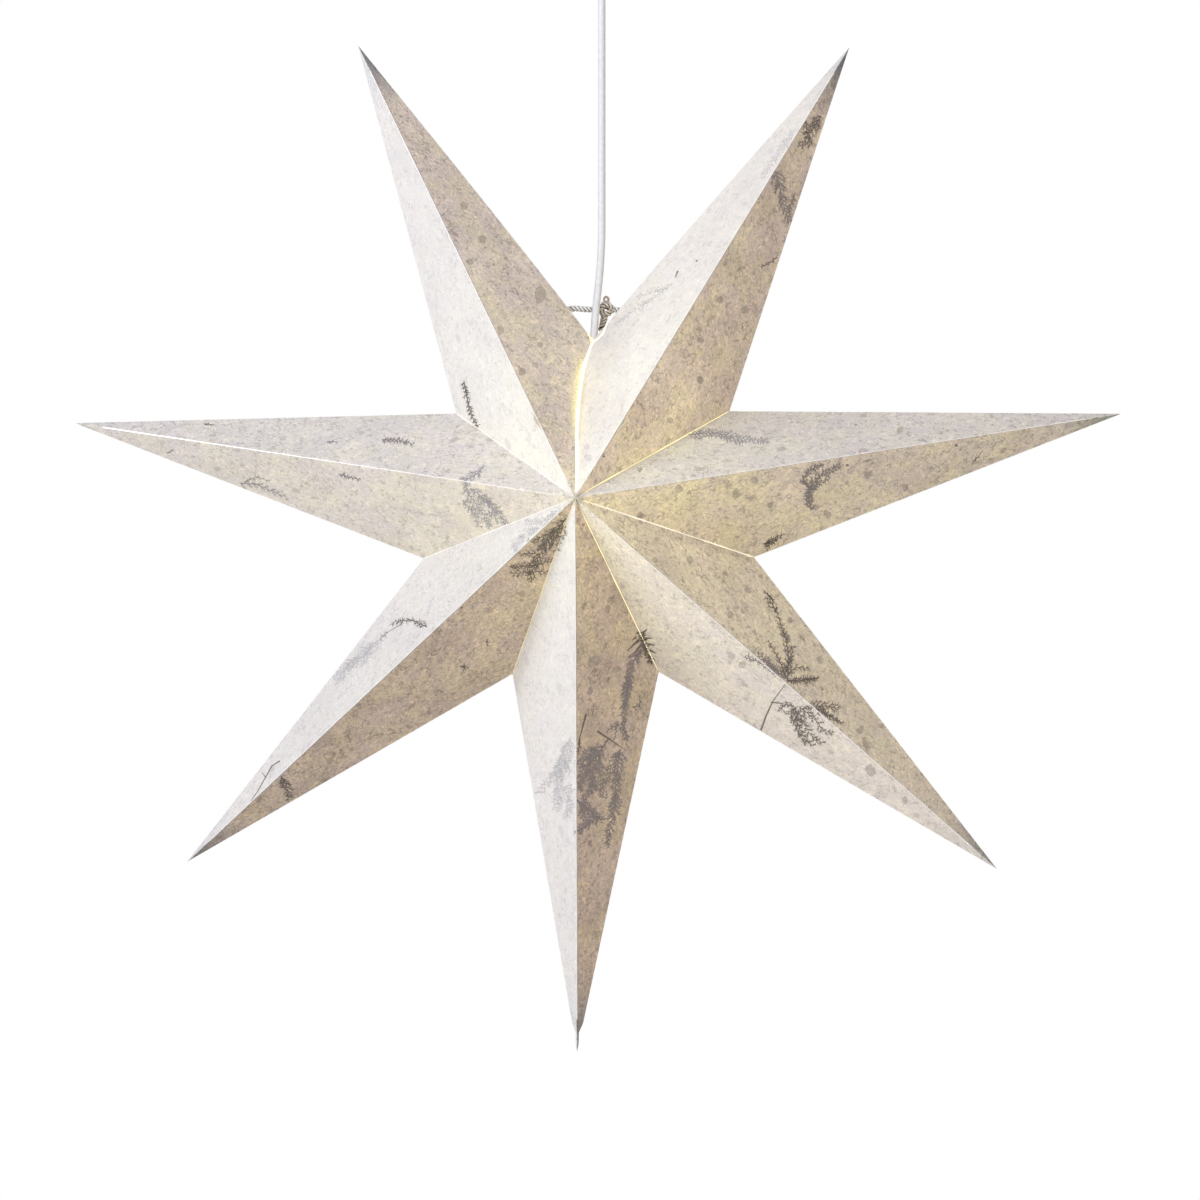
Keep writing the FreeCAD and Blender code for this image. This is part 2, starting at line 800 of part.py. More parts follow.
def make_bulb():
    """A small round filament-style bulb with a brass E14 cap, hanging cap upwards."""
    seat_top = (
        "holder_top - cap_height - 2 * holder_clearance - 3 * shell_sheet - holder_clearance"
    )
    cap_top = f"{seat_top} - bulb_tip_height"
    turned(
        "bulb_tip",
        [
            ("0", "0"),
            ("bulb_tip_radius * 0.7", "0"),
            ("bulb_tip_radius", "-bulb_tip_height / 3"),
            ("bulb_tip_radius", "-bulb_tip_height / 2"),
            ("0", "-bulb_tip_height / 2"),
        ],
        LAMP_X,
        seat_top,
    )
    turned(
        "bulb_insulator",
        [
            ("0", "bulb_tip_height / 2"),
            ("bulb_tip_radius", "bulb_tip_height / 2"),
            ("bulb_cap_radius - bulb_cap_bevel", "0"),
            ("0", "0"),
        ],
        LAMP_X,
        cap_top,
    )
    turned(
        "bulb_cap",
        [
            ("0", "0"),
            ("bulb_cap_radius - bulb_cap_bevel", "0"),
            ("bulb_cap_radius", "-bulb_cap_bevel"),
            ("bulb_cap_radius", "-bulb_cap_length"),
            ("bulb_cap_radius - bulb_cap_sheet", "-bulb_cap_length"),
            ("bulb_cap_radius - bulb_cap_sheet", "-bulb_cap_bevel"),
            ("bulb_cap_radius - bulb_cap_bevel - bulb_cap_sheet / 2", "-bulb_cap_sheet"),
            ("0", "-bulb_cap_sheet"),
        ],
        LAMP_X,
        cap_top,
    )
    centre = f"holder_top - cap_height - 5 * holder_clearance - bulb_length + bulb_radius"
    neck_top = f"({cap_top} - bulb_cap_length)"
    glass = []
    for layer, wall in (("outer", "0"), ("inner", "glass_wall")):
        ball = f"(bulb_radius - {wall})"
        height = f"({ball} * {NECK_START})"
        sphere = primitive(
            "Sphere", layer + "_ball", (LAMP_X, "0", centre), Radius=ball
        )
        neck = primitive(
            "Cone",
            layer + "_neck",
            (LAMP_X, "0", f"{centre} + {height}"),
            Radius1=f"{ball} * sqrt(1 - {NECK_START}^2)",
            Radius2=f"glass_neck_radius - {wall}",
            Height=f"{neck_top} - ({centre}) - {height} - {wall}",
        )
        glass.append(joined(layer + "_bulb", [sphere, neck]))
    finished(cut_from("bulb_glass", glass[0], [glass[1]]), "bulb_glass")
    make_filaments(neck_top)


def make_filaments(neck_top):
    """The glass stem in the neck, and the straight filaments that stand round it."""
    turned(
        "glass_stem",
        [
            ("0", "-glass_wall - nut_clearance"),
            ("stem_radius", "-glass_wall - nut_clearance"),
            ("stem_waist", "-stem_radius * 3"),
            ("stem_waist", "-stem_radius * 4"),
            ("0", "-stem_radius * 4"),
        ],
        LAMP_X,
        neck_top,
    )
    document.recompute()
    stem_foot = document.getObject("glass_stem").Shape.BoundBox.ZMin
    length = size_of("filament_length")
    top = size_of("stem_waist") + size_of("filament_radius")
    spread = size_of("filament_spread")
    top_z = stem_foot + size_of("filament_overlap")
    rods = []
    for number in range(FILAMENTS):
        angle = 2 * pi * (number + 0.5) / FILAMENTS
        outward = Vector(cos(angle), sin(angle), 0)
        start = Vector(lamp_x, 0, top_z) + outward * top
        end = Vector(lamp_x, 0, top_z) + outward * spread
        end.z -= sqrt(length**2 - (spread - top) ** 2)
        rods.append(Part.makeCylinder(size_of("filament_radius"), length, start, end - start))
    shaped("filaments", Part.makeCompound(rods))


# Star


class Plane:
    """The flat where normal * place = distance. The normal has length one."""

    def __init__(self, normal, distance=0.0):
        self.normal = Vector(normal)
        self.distance = distance / self.normal.Length
        self.normal.normalize()

    def inward(self, step):
        return Plane(self.normal, self.distance - step)


def meeting(first, second, third):
    """The place where three planes meet."""
    cross = second.normal.cross(third.normal)
    place = cross * first.distance
    place += third.normal.cross(first.normal) * second.distance
    place += first.normal.cross(second.normal) * third.distance
    return place * (1 / first.normal.dot(cross))


def panel(outer, inner, sides):
    """A flat sheet between two planes, closed all round by the side planes in their order."""
    pairs = [(sides[i - 1], sides[i]) for i in range(len(sides))]
    rims = [[meeting(face, *pair) for pair in pairs] for face in (outer, inner)]
    faces = [Part.Face(Part.makePolygon(rim + rim[:1])) for rim in rims]
    for i in range(len(sides)):
        corner = [rims[0][i - 1], rims[0][i], rims[1][i], rims[1][i - 1]]
        faces.append(Part.Face(Part.makePolygon(corner + corner[:1])))
    solid = Part.makeSolid(Part.makeShell(faces))
    if solid.Volume < 0:
        solid.reverse()
    return solid


MID_PLANE = Vector(0, 1, 0)


def point_axis(number):
    """Direction of a point's axis in the star. The seam is straight up."""
    angle = pi / 2 - half_seam - sum(spreads[1 : number + 1])
    return Vector(cos(angle), 0, sin(angle))


def sideways(axis):
    """The direction across a point, anticlockwise from its axis as the front shows it."""
    return Vector(-axis.z, 0, axis.x)


def flank_of(number, side):
    """Flank width, half angle and gap of one side of a point. Side is 1 anticlockwise, else -1."""
    valley = number if side > 0 else (number + 1) % STAR_POINTS
    if valley == 0:
        return seam_flank, half_seam, size_of("seam_gap") / 2
    return size_of("point_half_width"), spreads[valley] / 2, 0.0


def point_planes(number, side, face):
    """The outer plane of one facet, and the planes of its crease, edge and valley."""
    axis = point_axis(number)
    across = sideways(axis) * side
    flank, half_angle, gap = flank_of(number, side)
    slope = axis * (1 / size_of("star_radius")) + across * (1 / flank)
    slope += MID_PLANE * (face / size_of("star_half_depth"))
    outer = Plane(slope, 1.0)
    crease = Plane(across, 0.0)
    edge = Plane(MID_PLANE * face, 0.0)
    valley = Plane(across * cos(half_angle) - axis * sin(half_angle), -gap)
    return outer, crease, edge, valley


def facet(number, side, face):
    """One of the four flat facets of a point, mitred to the next at each crease."""
    outer, crease, edge, valley = point_planes(number, side, face)
    half_angle, gap = flank_of(number, side)[1:]
    hole = Plane(point_axis(number), size_of("centre_hole") + gap / sin(half_angle))
    sides = [crease, edge, valley, hole]
    if gap:
        mouth = Plane(Vector(side, face, 0), size_of("mouth_reach"))
        sides.insert(2, mouth)
    return panel(outer, outer.inward(size_of("paper")), sides)


def glue_flap(number, side, face):
    """The narrow flap along a facet's valley edge, pasted to the next point's flap."""
    outer, crease, edge, valley = point_planes(number, side, face)
    lining = outer.inward(size_of("paper"))
    end = Plane(edge.normal, size_of("flap_end"))
    start = Plane(edge.normal, size_of("star_half_depth") - 2 * size_of("flap_end"))
    back = valley.inward(size_of("paper"))
    return panel(valley, back, [lining, end, lining.inward(size_of("flap_width")), start])


# The twine crosses a little over the mouth

twine_height = seam_reach + size_of("twine_rise")


def twine_entry():
    """Where the twine meets an end point's back: how far from the seam, and the paper's slant."""
    left_over = 1 - seam_slope.z * twine_height
    left_over -= seam_slope.y * size_of("twine_setback")
    return left_over / seam_slope.x, -seam_slope.x * facet_distance(seam_flank)


def twine_hole(side):
    """The drill for the punched hole that the twine goes through."""
    place = Vector(0, size_of("twine_setback"), twine_height)
    depth = 2 * twine_entry()[0]
    return Part.makeCylinder(size_of("twine_hole_radius"), depth, place, Vector(side, 0, 0))


def in_the_star(name, shape):
    """Places a piece of the star, which hangs with its seam a little out of plumb."""
    return shaped(name, shape, star_x, star_z, Rotation(Vector(0, 1, 0), size_of("seam_lean")))


def make_star_point(number):
    """One point: a sheet folded into four facets, with the flaps that its neighbours share."""
    solids = []
    for side in (1, -1):
        for face in (-1, 1):
            solid = facet(number, side, face)
            at_seam = flank_of(number, side)[2] > 0
            if at_seam and face == 1:
                solid = solid.cut(twine_hole(1 if number == 0 else -1))
            solids.append(solid)
            if not at_seam:
                solids.append(glue_flap(number, side, face))
    in_the_star(f"star_point_{number + 1}", Part.makeCompound(solids))


def make_seam_strip(name, number, side):
    """A strip pasted inside along the open seam's edge, front and back, as a stiffener."""
    strips = []
    for face in (-1, 1):
        outer, crease, edge, valley = point_planes(number, side, face)
        lining = outer.inward(size_of("paper"))
        end = Plane(edge.normal, size_of("flap_end"))
        start = Plane(edge.normal, size_of("star_half_depth") - 2 * size_of("flap_end"))
        far = valley.inward(size_of("seam_strip_width"))
        strips.append(panel(lining, lining.inward(size_of("paper")), [valley, end, far, start]))
    in_the_star(name, Part.makeCompound(strips))


def make_twine():
    """The tie: one twine from each end point, knotted together beside the cord."""
    back, height = size_of("twine_setback"), twine_height
    knot_x, knot, radius = size_of("knot_side"), size_of("knot_size"), size_of("twine_radius")
    entry, slant = twine_entry()
    stop = entry + (knot + size_of("paper") + size_of("cord_clearance")) / slant
    runs = []
    for side, length in ((-1, stop + knot_x - 2 * knot), (1, stop - knot_x - 2 * knot)):
        start = Vector(knot_x + side * knot, back, height)
        runs.append(Part.makeCylinder(radius, length, start, Vector(side, 0, 0)))
    in_the_star("tie_twine", Part.makeCompound(runs))
    stops = [Part.makeSphere(knot, Vector(side * stop, back, height)) for side in (-1, 1)]
    in_the_star("stop_knots", Part.makeCompound(stops))

    middle = Vector(knot_x, back, height)
    lump = Part.makeSphere(knot * 1.25, middle)
    lump = lump.fuse(Part.makeTorus(knot, radius * 0.9, middle, Vector(1, 0, 0.35)))
    stub = [Vector(-0.2, -0.6, 0.7), Vector(-0.6, -1.2, 2.2), Vector(-1.4, -1.0, 4.0)]
    tail = [Vector(-0.3, -0.6, -0.7), Vector(-0.9, -0.9, -2.2), Vector(-1.8, -0.5, -4.0)]
    for route in (stub, tail):
        lump = lump.fuse(tube([middle + step * knot for step in route], radius * 0.8))
    for side in (-1, 1):
        start = middle + Vector(side * knot, 0, 0)
        slack = radius + size_of("nut_clearance")
        lump = lump.cut(Part.makeCylinder(slack, 3 * knot, start, Vector(side, 0, 0)))
    in_the_star("tie_knot", lump)


make_ceiling_bracket()
make_canopy_cup()
make_cup_screws()
make_cord_gland()
make_gland_nut()
make_terminal_block()
make_cord()
make_cord_tail()
make_lampholder()
make_contacts()
make_bulb()
for point_number in range(STAR_POINTS):
    make_star_point(point_number)
make_seam_strip("seam_strip_right", 0, 1)
make_seam_strip("seam_strip_left", STAR_POINTS - 1, -1)
make_twine()

document.recompute()
for item in document.Objects:
    if any(word in item.State for word in ("Invalid", "Error")):
        raise RuntimeError(f"{item.Name} is not built: {item.State}")
for subpart in subparts:
    if subpart.Shape.isNull() or not subpart.Shape.isValid():
        raise RuntimeError(subpart.Label + " has no valid shape")

os.makedirs("parts", exist_ok=True)
for subpart in subparts:
    subpart.Shape.exportStep(f"parts/{subpart.Label}.step")
print(len(subparts), "sub-parts")
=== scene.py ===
import math
import random

import bmesh
import bpy
from mathutils import Matrix, Vector, noise
from mathutils.bvhtree import BVHTree


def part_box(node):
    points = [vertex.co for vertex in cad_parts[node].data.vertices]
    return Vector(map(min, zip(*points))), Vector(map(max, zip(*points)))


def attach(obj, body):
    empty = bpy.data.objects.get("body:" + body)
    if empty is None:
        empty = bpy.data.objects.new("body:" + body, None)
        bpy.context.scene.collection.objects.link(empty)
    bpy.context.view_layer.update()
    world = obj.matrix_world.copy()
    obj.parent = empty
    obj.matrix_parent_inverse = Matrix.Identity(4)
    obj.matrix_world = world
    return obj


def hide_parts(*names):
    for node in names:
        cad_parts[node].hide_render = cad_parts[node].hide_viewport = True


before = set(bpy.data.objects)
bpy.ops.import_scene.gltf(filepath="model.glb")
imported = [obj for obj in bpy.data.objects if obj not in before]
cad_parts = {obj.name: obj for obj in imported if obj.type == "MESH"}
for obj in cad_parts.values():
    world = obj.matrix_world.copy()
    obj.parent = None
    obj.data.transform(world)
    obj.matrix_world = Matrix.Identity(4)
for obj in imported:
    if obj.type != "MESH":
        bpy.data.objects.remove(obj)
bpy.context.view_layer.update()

# The view
# The star hangs above eye level. The camera stands 1.8 m away, a little to the right, and
# looks slightly up, so that the cord runs out of the top of the picture.

PICTURE_SIDE = 1200
eye = Vector((0.15205, -1.7899, -0.6064))
aim = Vector((-0.00126, 0.0, -0.49277))
lens = bpy.data.cameras.new("camera")
lens.lens = 76.0
lens.sensor_width = 36.0
camera = bpy.data.objects.new("camera", lens)
camera.location = eye
camera.rotation_euler = (aim - eye).to_track_quat("-Z", "Y").to_euler()
bpy.context.collection.objects.link(camera)
bpy.context.scene.camera = camera
bpy.context.view_layer.update()
turned_to = camera.matrix_world.to_3x3()


def sight(x, y):
    """The direction in which the camera sees a pixel of the square picture."""
    reach = lens.lens / lens.sensor_width * PICTURE_SIDE
    return (turned_to @ Vector((x - PICTURE_SIDE / 2, PICTURE_SIDE / 2 - y, -reach))).normalized()


# Ceiling fitting
# A pressed steel cup, powder coated white, closes over a zinc-plated bracket and a two-way
# terminal block. Two slotted screws hold the cup, and the cord leaves through a moulded gland.

CORE_BLUE = (0.05, 0.16, 0.42)
CORE_BROWN = (0.20, 0.09, 0.04)


def node(tree, kind, inputs=(), **settings):
    """Adds a shader node. Each input is a value, or another node's output."""
    made = tree.nodes.new("ShaderNode" + kind)
    for key, value in settings.items():
        setattr(made, key, value)
    for key, value in dict(inputs).items():
        socket = made.inputs[key]
        if isinstance(value, bpy.types.NodeSocket):
            tree.links.new(value, socket)
        else:
            socket.default_value = value
    return made


def new_material(name):
    made = bpy.data.materials.new(name)
    made.use_nodes = True
    made.node_tree.nodes.clear()
    return made, made.node_tree


def places(tree):
    return node(tree, "TexCoord").outputs["Object"]


def grain(tree, scale, detail=2.0, rough=0.5, where=None):
    """Noise with that many lumps to the metre."""
    inputs = {"Scale": scale, "Detail": detail, "Roughness": rough}
    inputs["Vector"] = where or places(tree)
    return node(tree, "TexNoise", inputs).outputs["Fac"]


def ranged(tree, value, low, high, to_low, to_high):
    inputs = {
        "Value": value,
        "From Min": low,
        "From Max": high,
        "To Min": to_low,
        "To Max": to_high,
    }
    return node(tree, "MapRange", inputs, interpolation_type="SMOOTHSTEP").outputs["Result"]


def blended(tree, fac, first, second, how="MIX"):
    """Two colours mixed by a factor."""
    mix = tree.nodes.new("ShaderNodeMix")
    mix.data_type = "RGBA"
    mix.blend_type = how
    for socket, value in ((mix.inputs[0], fac), (mix.inputs[6], first), (mix.inputs[7], second)):
        if isinstance(value, bpy.types.NodeSocket):
            tree.links.new(value, socket)
        elif isinstance(value, tuple):
            socket.default_value = (*value, 1.0)
        else:
            socket.default_value = value
    return mix.outputs[2]


def maths(tree, how, first, second, third=0.0):
    inputs = {0: first, 1: second, 2: third}
    return node(tree, "Math", inputs, operation=how).outputs[0]


def multiplied(tree, first, second):
    """One colour darkened or tinted by another."""
    return blended(tree, 1.0, first, second, "MULTIPLY")


def bumps(tree, height, strength, distance=0.0002):
    """A surface that rises and falls with the height, by that many metres."""
    inputs = {"Height": height, "Strength": strength, "Distance": distance}
    return node(tree, "Bump", inputs).outputs[0]


def finish_with(tree, shader):
    node(tree, "OutputMaterial", {"Surface": shader.outputs[0]})


def moulded(name, colour, shade, rough, lumps, bump, metal=0.0):
    """A finish whose colour, roughness and surface vary a little, as moulded and metal parts do."""
    material, tree = new_material(name)
    cloud = grain(tree, lumps / 8, 3.0)
    fine = grain(tree, lumps, 3.0)
    inputs = {
        "Base Color": blended(tree, ranged(tree, cloud, 0.3, 0.7, 0.0, 1.0), colour, shade),
        "Roughness": ranged(tree, fine, 0.3, 0.7, rough * 0.85, min(rough * 1.2, 1.0)),
        "Metallic": metal,
        "Normal": bumps(tree, fine, bump),
    }
    finish_with(tree, node(tree, "BsdfPrincipled", inputs))
    return material


def core_pair(name, axis, middle):
    """PVC on the two cores of a cord: blue on one side of a place, brown on the other."""
    material, tree = new_material(name)
    sides = node(tree, "SeparateXYZ", {"Vector": places(tree)})
    second = ranged(tree, sides.outputs[axis], middle - 0.0001, middle + 0.0001, 0.0, 1.0)
    fine = grain(tree, 1800, 3.0)
    tint = blended(tree, second, CORE_BLUE, CORE_BROWN)
    inputs = {
        "Base Color": multiplied(tree, tint, ranged(tree, fine, 0.3, 0.7, 0.9, 1.1)),
        "Roughness": ranged(tree, fine, 0.3, 0.7, 0.42, 0.6),
        "Normal": bumps(tree, fine, 0.15),
    }
    finish_with(tree, node(tree, "BsdfPrincipled", inputs))
    return material


def dress(material, *names):
    """Gives pieces that keep their own shape their finish."""
    for name in names:
        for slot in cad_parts[name].material_slots:
            slot.material = material


powder_coat = moulded("powder_coat", (0.87, 0.87, 0.86), (0.84, 0.84, 0.83), 0.45, 1800, 0.3)
zinc_plate = moulded("zinc_plate", (0.62, 0.63, 0.65), (0.50, 0.52, 0.55), 0.38, 900, 0.2, 1.0)
white_plastic = moulded("white_plastic", (0.86, 0.86, 0.84), (0.82, 0.82, 0.79), 0.42, 1500, 0.1)
ivory_nylon = moulded("ivory_nylon", (0.80, 0.77, 0.68), (0.75, 0.71, 0.61), 0.55, 1500, 0.12)
brass = moulded("brass", (0.74, 0.57, 0.30), (0.62, 0.46, 0.23), 0.32, 1200, 0.15, 1.0)
dress(powder_coat, "canopy_cup")
dress(zinc_plate, "ceiling_bracket", "cup_screws")
dress(white_plastic, "cord_gland", "gland_nut")
dress(ivory_nylon, "terminal_block")
dress(brass, "terminal_screws")
dress(core_pair("tail_core_pvc", 1, 0.0), "tail_cores")

# Cord
# A round white PVC mains cord, 5.4 mm thick. It hangs straight from the ceiling gland and
# leans over where it goes into the star's mouth, pulled tight by the star's weight.

CORD_RADIUS = 0.0027
LAMP_X = -0.006
CORD_ROUTE = [
    (0.0, 0.0, -0.041),
    (0.0, 0.0, -0.19776),
    (0.0, 0.0, -0.24812),
    (LAMP_X, 0.0, -0.29812),
    (LAMP_X, 0.0, -0.32102),
]

white_pvc = moulded("white_pvc", (0.63, 0.63, 0.64), (0.57, 0.57, 0.59), 0.5, 2600, 0.15)
dress(white_pvc, "cord_tail")

curve = bpy.data.curves.new("hanging_cord", "CURVE")
curve.dimensions = "3D"
curve.bevel_depth = CORD_RADIUS
curve.bevel_resolution = 8
curve.resolution_u = 24
curve.use_fill_caps = True
line = curve.splines.new("NURBS")
line.points.add(len(CORD_ROUTE) - 1)
for knot, place in zip(line.points, CORD_ROUTE):
    knot.co = (*place, 1.0)
line.order_u = 3
line.use_endpoint_u = True
curve.materials.append(white_pvc)
cord = bpy.data.objects.new("hanging_cord", curve)
bpy.context.collection.objects.link(cord)
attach(cord, "pendant")
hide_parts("cord")

# Lampholder
# An E14 lampholder in white plastic hangs inside the star's mouth: a domed cap with a cord
# grip, and a ribbed body. Its threaded brass shell and its contacts sit inside.

LAMP_AXIS = Vector((LAMP_X, 0.0, 0.0))
THREAD_PITCH = 0.00282
THREAD_STEPS = 60
THREAD_FADE = 6
ROUND_STEPS = 56
ROLLED_SHEET = 0.0003
SHELL_RADIUS = 0.00775
SHELL_THREAD_DEPTH = 0.00035
SHELL_BOTTOM, SHELL_TOP = -0.36172, -0.33972


def new_piece(name, mesh, material, body, smoothed=True):
    data = bpy.data.meshes.new(name)
    mesh.to_mesh(data)
    mesh.free()
    data.materials.append(material)
    if smoothed:
        data.polygons.foreach_set("use_smooth", [True] * len(data.polygons))
    piece = bpy.data.objects.new(name, data)
    bpy.context.collection.objects.link(piece)
    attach(piece, body)
    return piece


def thicken(piece, sheet):
    """Gives a skin the thickness of its sheet, inward."""
    solid = piece.modifiers.new("sheet", "SOLIDIFY")
    solid.thickness = sheet
    solid.offset = -1.0


def ring_at(mesh, height, reach_at):
    """A ring of corners round the lamp's axis. Its radius is worked out for each angle."""
    ring = []
    for turn in range(ROUND_STEPS):
        angle = math.tau * turn / ROUND_STEPS
        reach = reach_at(angle)
        place = Vector((math.cos(angle) * reach, math.sin(angle) * reach, height))
        ring.append(mesh.verts.new(LAMP_AXIS + place))
    return ring


def join_rings(mesh, rings):
    for lower, upper in zip(rings, rings[1:]):
        for i in range(len(lower)):
            after = (i + 1) % len(lower)
            mesh.faces.new((lower[i], lower[after], upper[after], upper[i]))


def threaded(name, radius, depth, low, high, material, body):
    """A tube of sheet metal with a rolled thread that fades out at both ends."""
    mesh = bmesh.new()
    rings = []
    for step in range(THREAD_STEPS + 1):
        height = low + (high - low) * step / THREAD_STEPS
        cut = depth * min(1.0, step / THREAD_FADE, (THREAD_STEPS - step) / THREAD_FADE)
        turned = math.tau * height / THREAD_PITCH
        rings.append(
            ring_at(mesh, height, lambda angle: radius - cut * (0.5 - 0.5 * math.cos(turned - angle)))
        )
    join_rings(mesh, rings)
    piece = new_piece(name, mesh, material, body)
    thicken(piece, ROLLED_SHEET)
    return piece


dress(white_plastic, "lampholder_cap", "lampholder_body", "cord_grip")
dress(ivory_nylon, "contact_carrier")
dress(brass, "centre_contact")
dress(zinc_plate, "contact_screws")
dress(core_pair("holder_core_pvc", 0, LAMP_X), "holder_cores")
shell = threaded(
    "threaded_shell", SHELL_RADIUS, SHELL_THREAD_DEPTH, SHELL_BOTTOM, SHELL_TOP, brass, "pendant"
)
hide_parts("socket_shell")

# Bulb
# A clear round filament bulb with a nickel-plated threaded cap. Black glass insulates its
# contact, and four long filaments stand on a glass stem.

CAP_RADIUS = 0.0069
CAP_THREAD_DEPTH = 0.0005
CAP_BOTTOM, CAP_TOP = -0.36227, -0.34477
CAP_SHOULDER = [
    # radius, height
    (CAP_RADIUS, CAP_TOP),
    (0.0067, -0.34427),
    (0.0061, -0.34367),
    (0.0052, -0.34332),
]

nickel = moulded("nickel_plate", (0.66, 0.63, 0.58), (0.55, 0.52, 0.47), 0.3, 1100, 0.15, 1.0)
black_glass = moulded("black_glass", (0.02, 0.02, 0.022), (0.03, 0.03, 0.033), 0.12, 900, 0.1)
screw_cap = threaded(
    "threaded_cap", CAP_RADIUS, CAP_THREAD_DEPTH, CAP_BOTTOM, CAP_TOP, nickel, "bulb"
)
mesh = bmesh.new()
join_rings(mesh, [ring_at(mesh, height, lambda _: radius) for radius, height in CAP_SHOULDER])
shoulder = new_piece("cap_shoulder", mesh, nickel, "bulb")
thicken(shoulder, ROLLED_SHEET)
for piece in (screw_cap, shoulder):
    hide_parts("bulb_cap")
dress(black_glass, "bulb_insulator")
dress(nickel, "bulb_tip")

clear_glass, tree = new_material("clear_glass")
waves = bumps(tree, grain(tree, 240.0, 2.0), 0.03)
glass = node(tree, "BsdfGlass", {"Roughness": 0.01, "IOR": 1.45, "Normal": waves})
open_to_light = node(tree, "BsdfTransparent", {"Color": (0.96, 0.96, 0.95, 1.0)})
shadow = node(tree, "LightPath").outputs["Is Shadow Ray"]
finish_with(
    tree, node(tree, "MixShader", {"Fac": shadow, 1: glass.outputs[0], 2: open_to_light.outputs[0]})
)
dress(clear_glass, "bulb_glass", "glass_stem")

warm_filament, tree = new_material("warm_filament")
beads = ranged(tree, grain(tree, 1500.0, 2.0), 0.35, 0.65, 0.7, 1.3)
inputs = {
    "Base Color": (0.90, 0.66, 0.28, 1.0),
    "Roughness": ranged(tree, beads, 0.7, 1.3, 0.5, 0.7),
    "Emission Color": (1.0, 0.76, 0.38, 1.0),
    "Emission Strength": maths(tree, "MULTIPLY", beads, 2.0),
}
finish_with(tree, node(tree, "BsdfPrincipled", inputs))
dress(warm_filament, "filaments")

# Paper
# Handmade mulberry paper, cream white, with long loose fibres, cloudy thin and thick areas,
# soft round spots of darker pulp and small dark flecks of bark. Lamp light shows through it.

PAPER_LIGHT = (0.90, 0.885, 0.87)
PAPER_DARK = (0.86, 0.838, 0.817)
MAUVE = (0.98, 0.955, 0.965)
OCHRE = (1.01, 1.0, 0.935)
DARK_FIBRE = (0.54, 0.51, 0.49)
PALE_FIBRE = (1.30, 1.28, 1.20)
FLECK = (0.20, 0.16, 0.14)
UNMARKED = (1.0, 1.0, 1.0)
LAMP_WARMTH = (0.96, 0.94, 0.88)
# Colours of painted shade, which darken the paper towards the tips of the points
PALE_TIP_SHADE = (0.93, 0.94, 0.96)
GREY_TIP_SHADE = (0.58, 0.61, 0.67)
DARK_TIP_SHADE = (0.38, 0.43, 0.51)
STAR_CENTRE = Vector((-0.009546, 0.0, -0.43))
STAR_RADIUS = 0.381


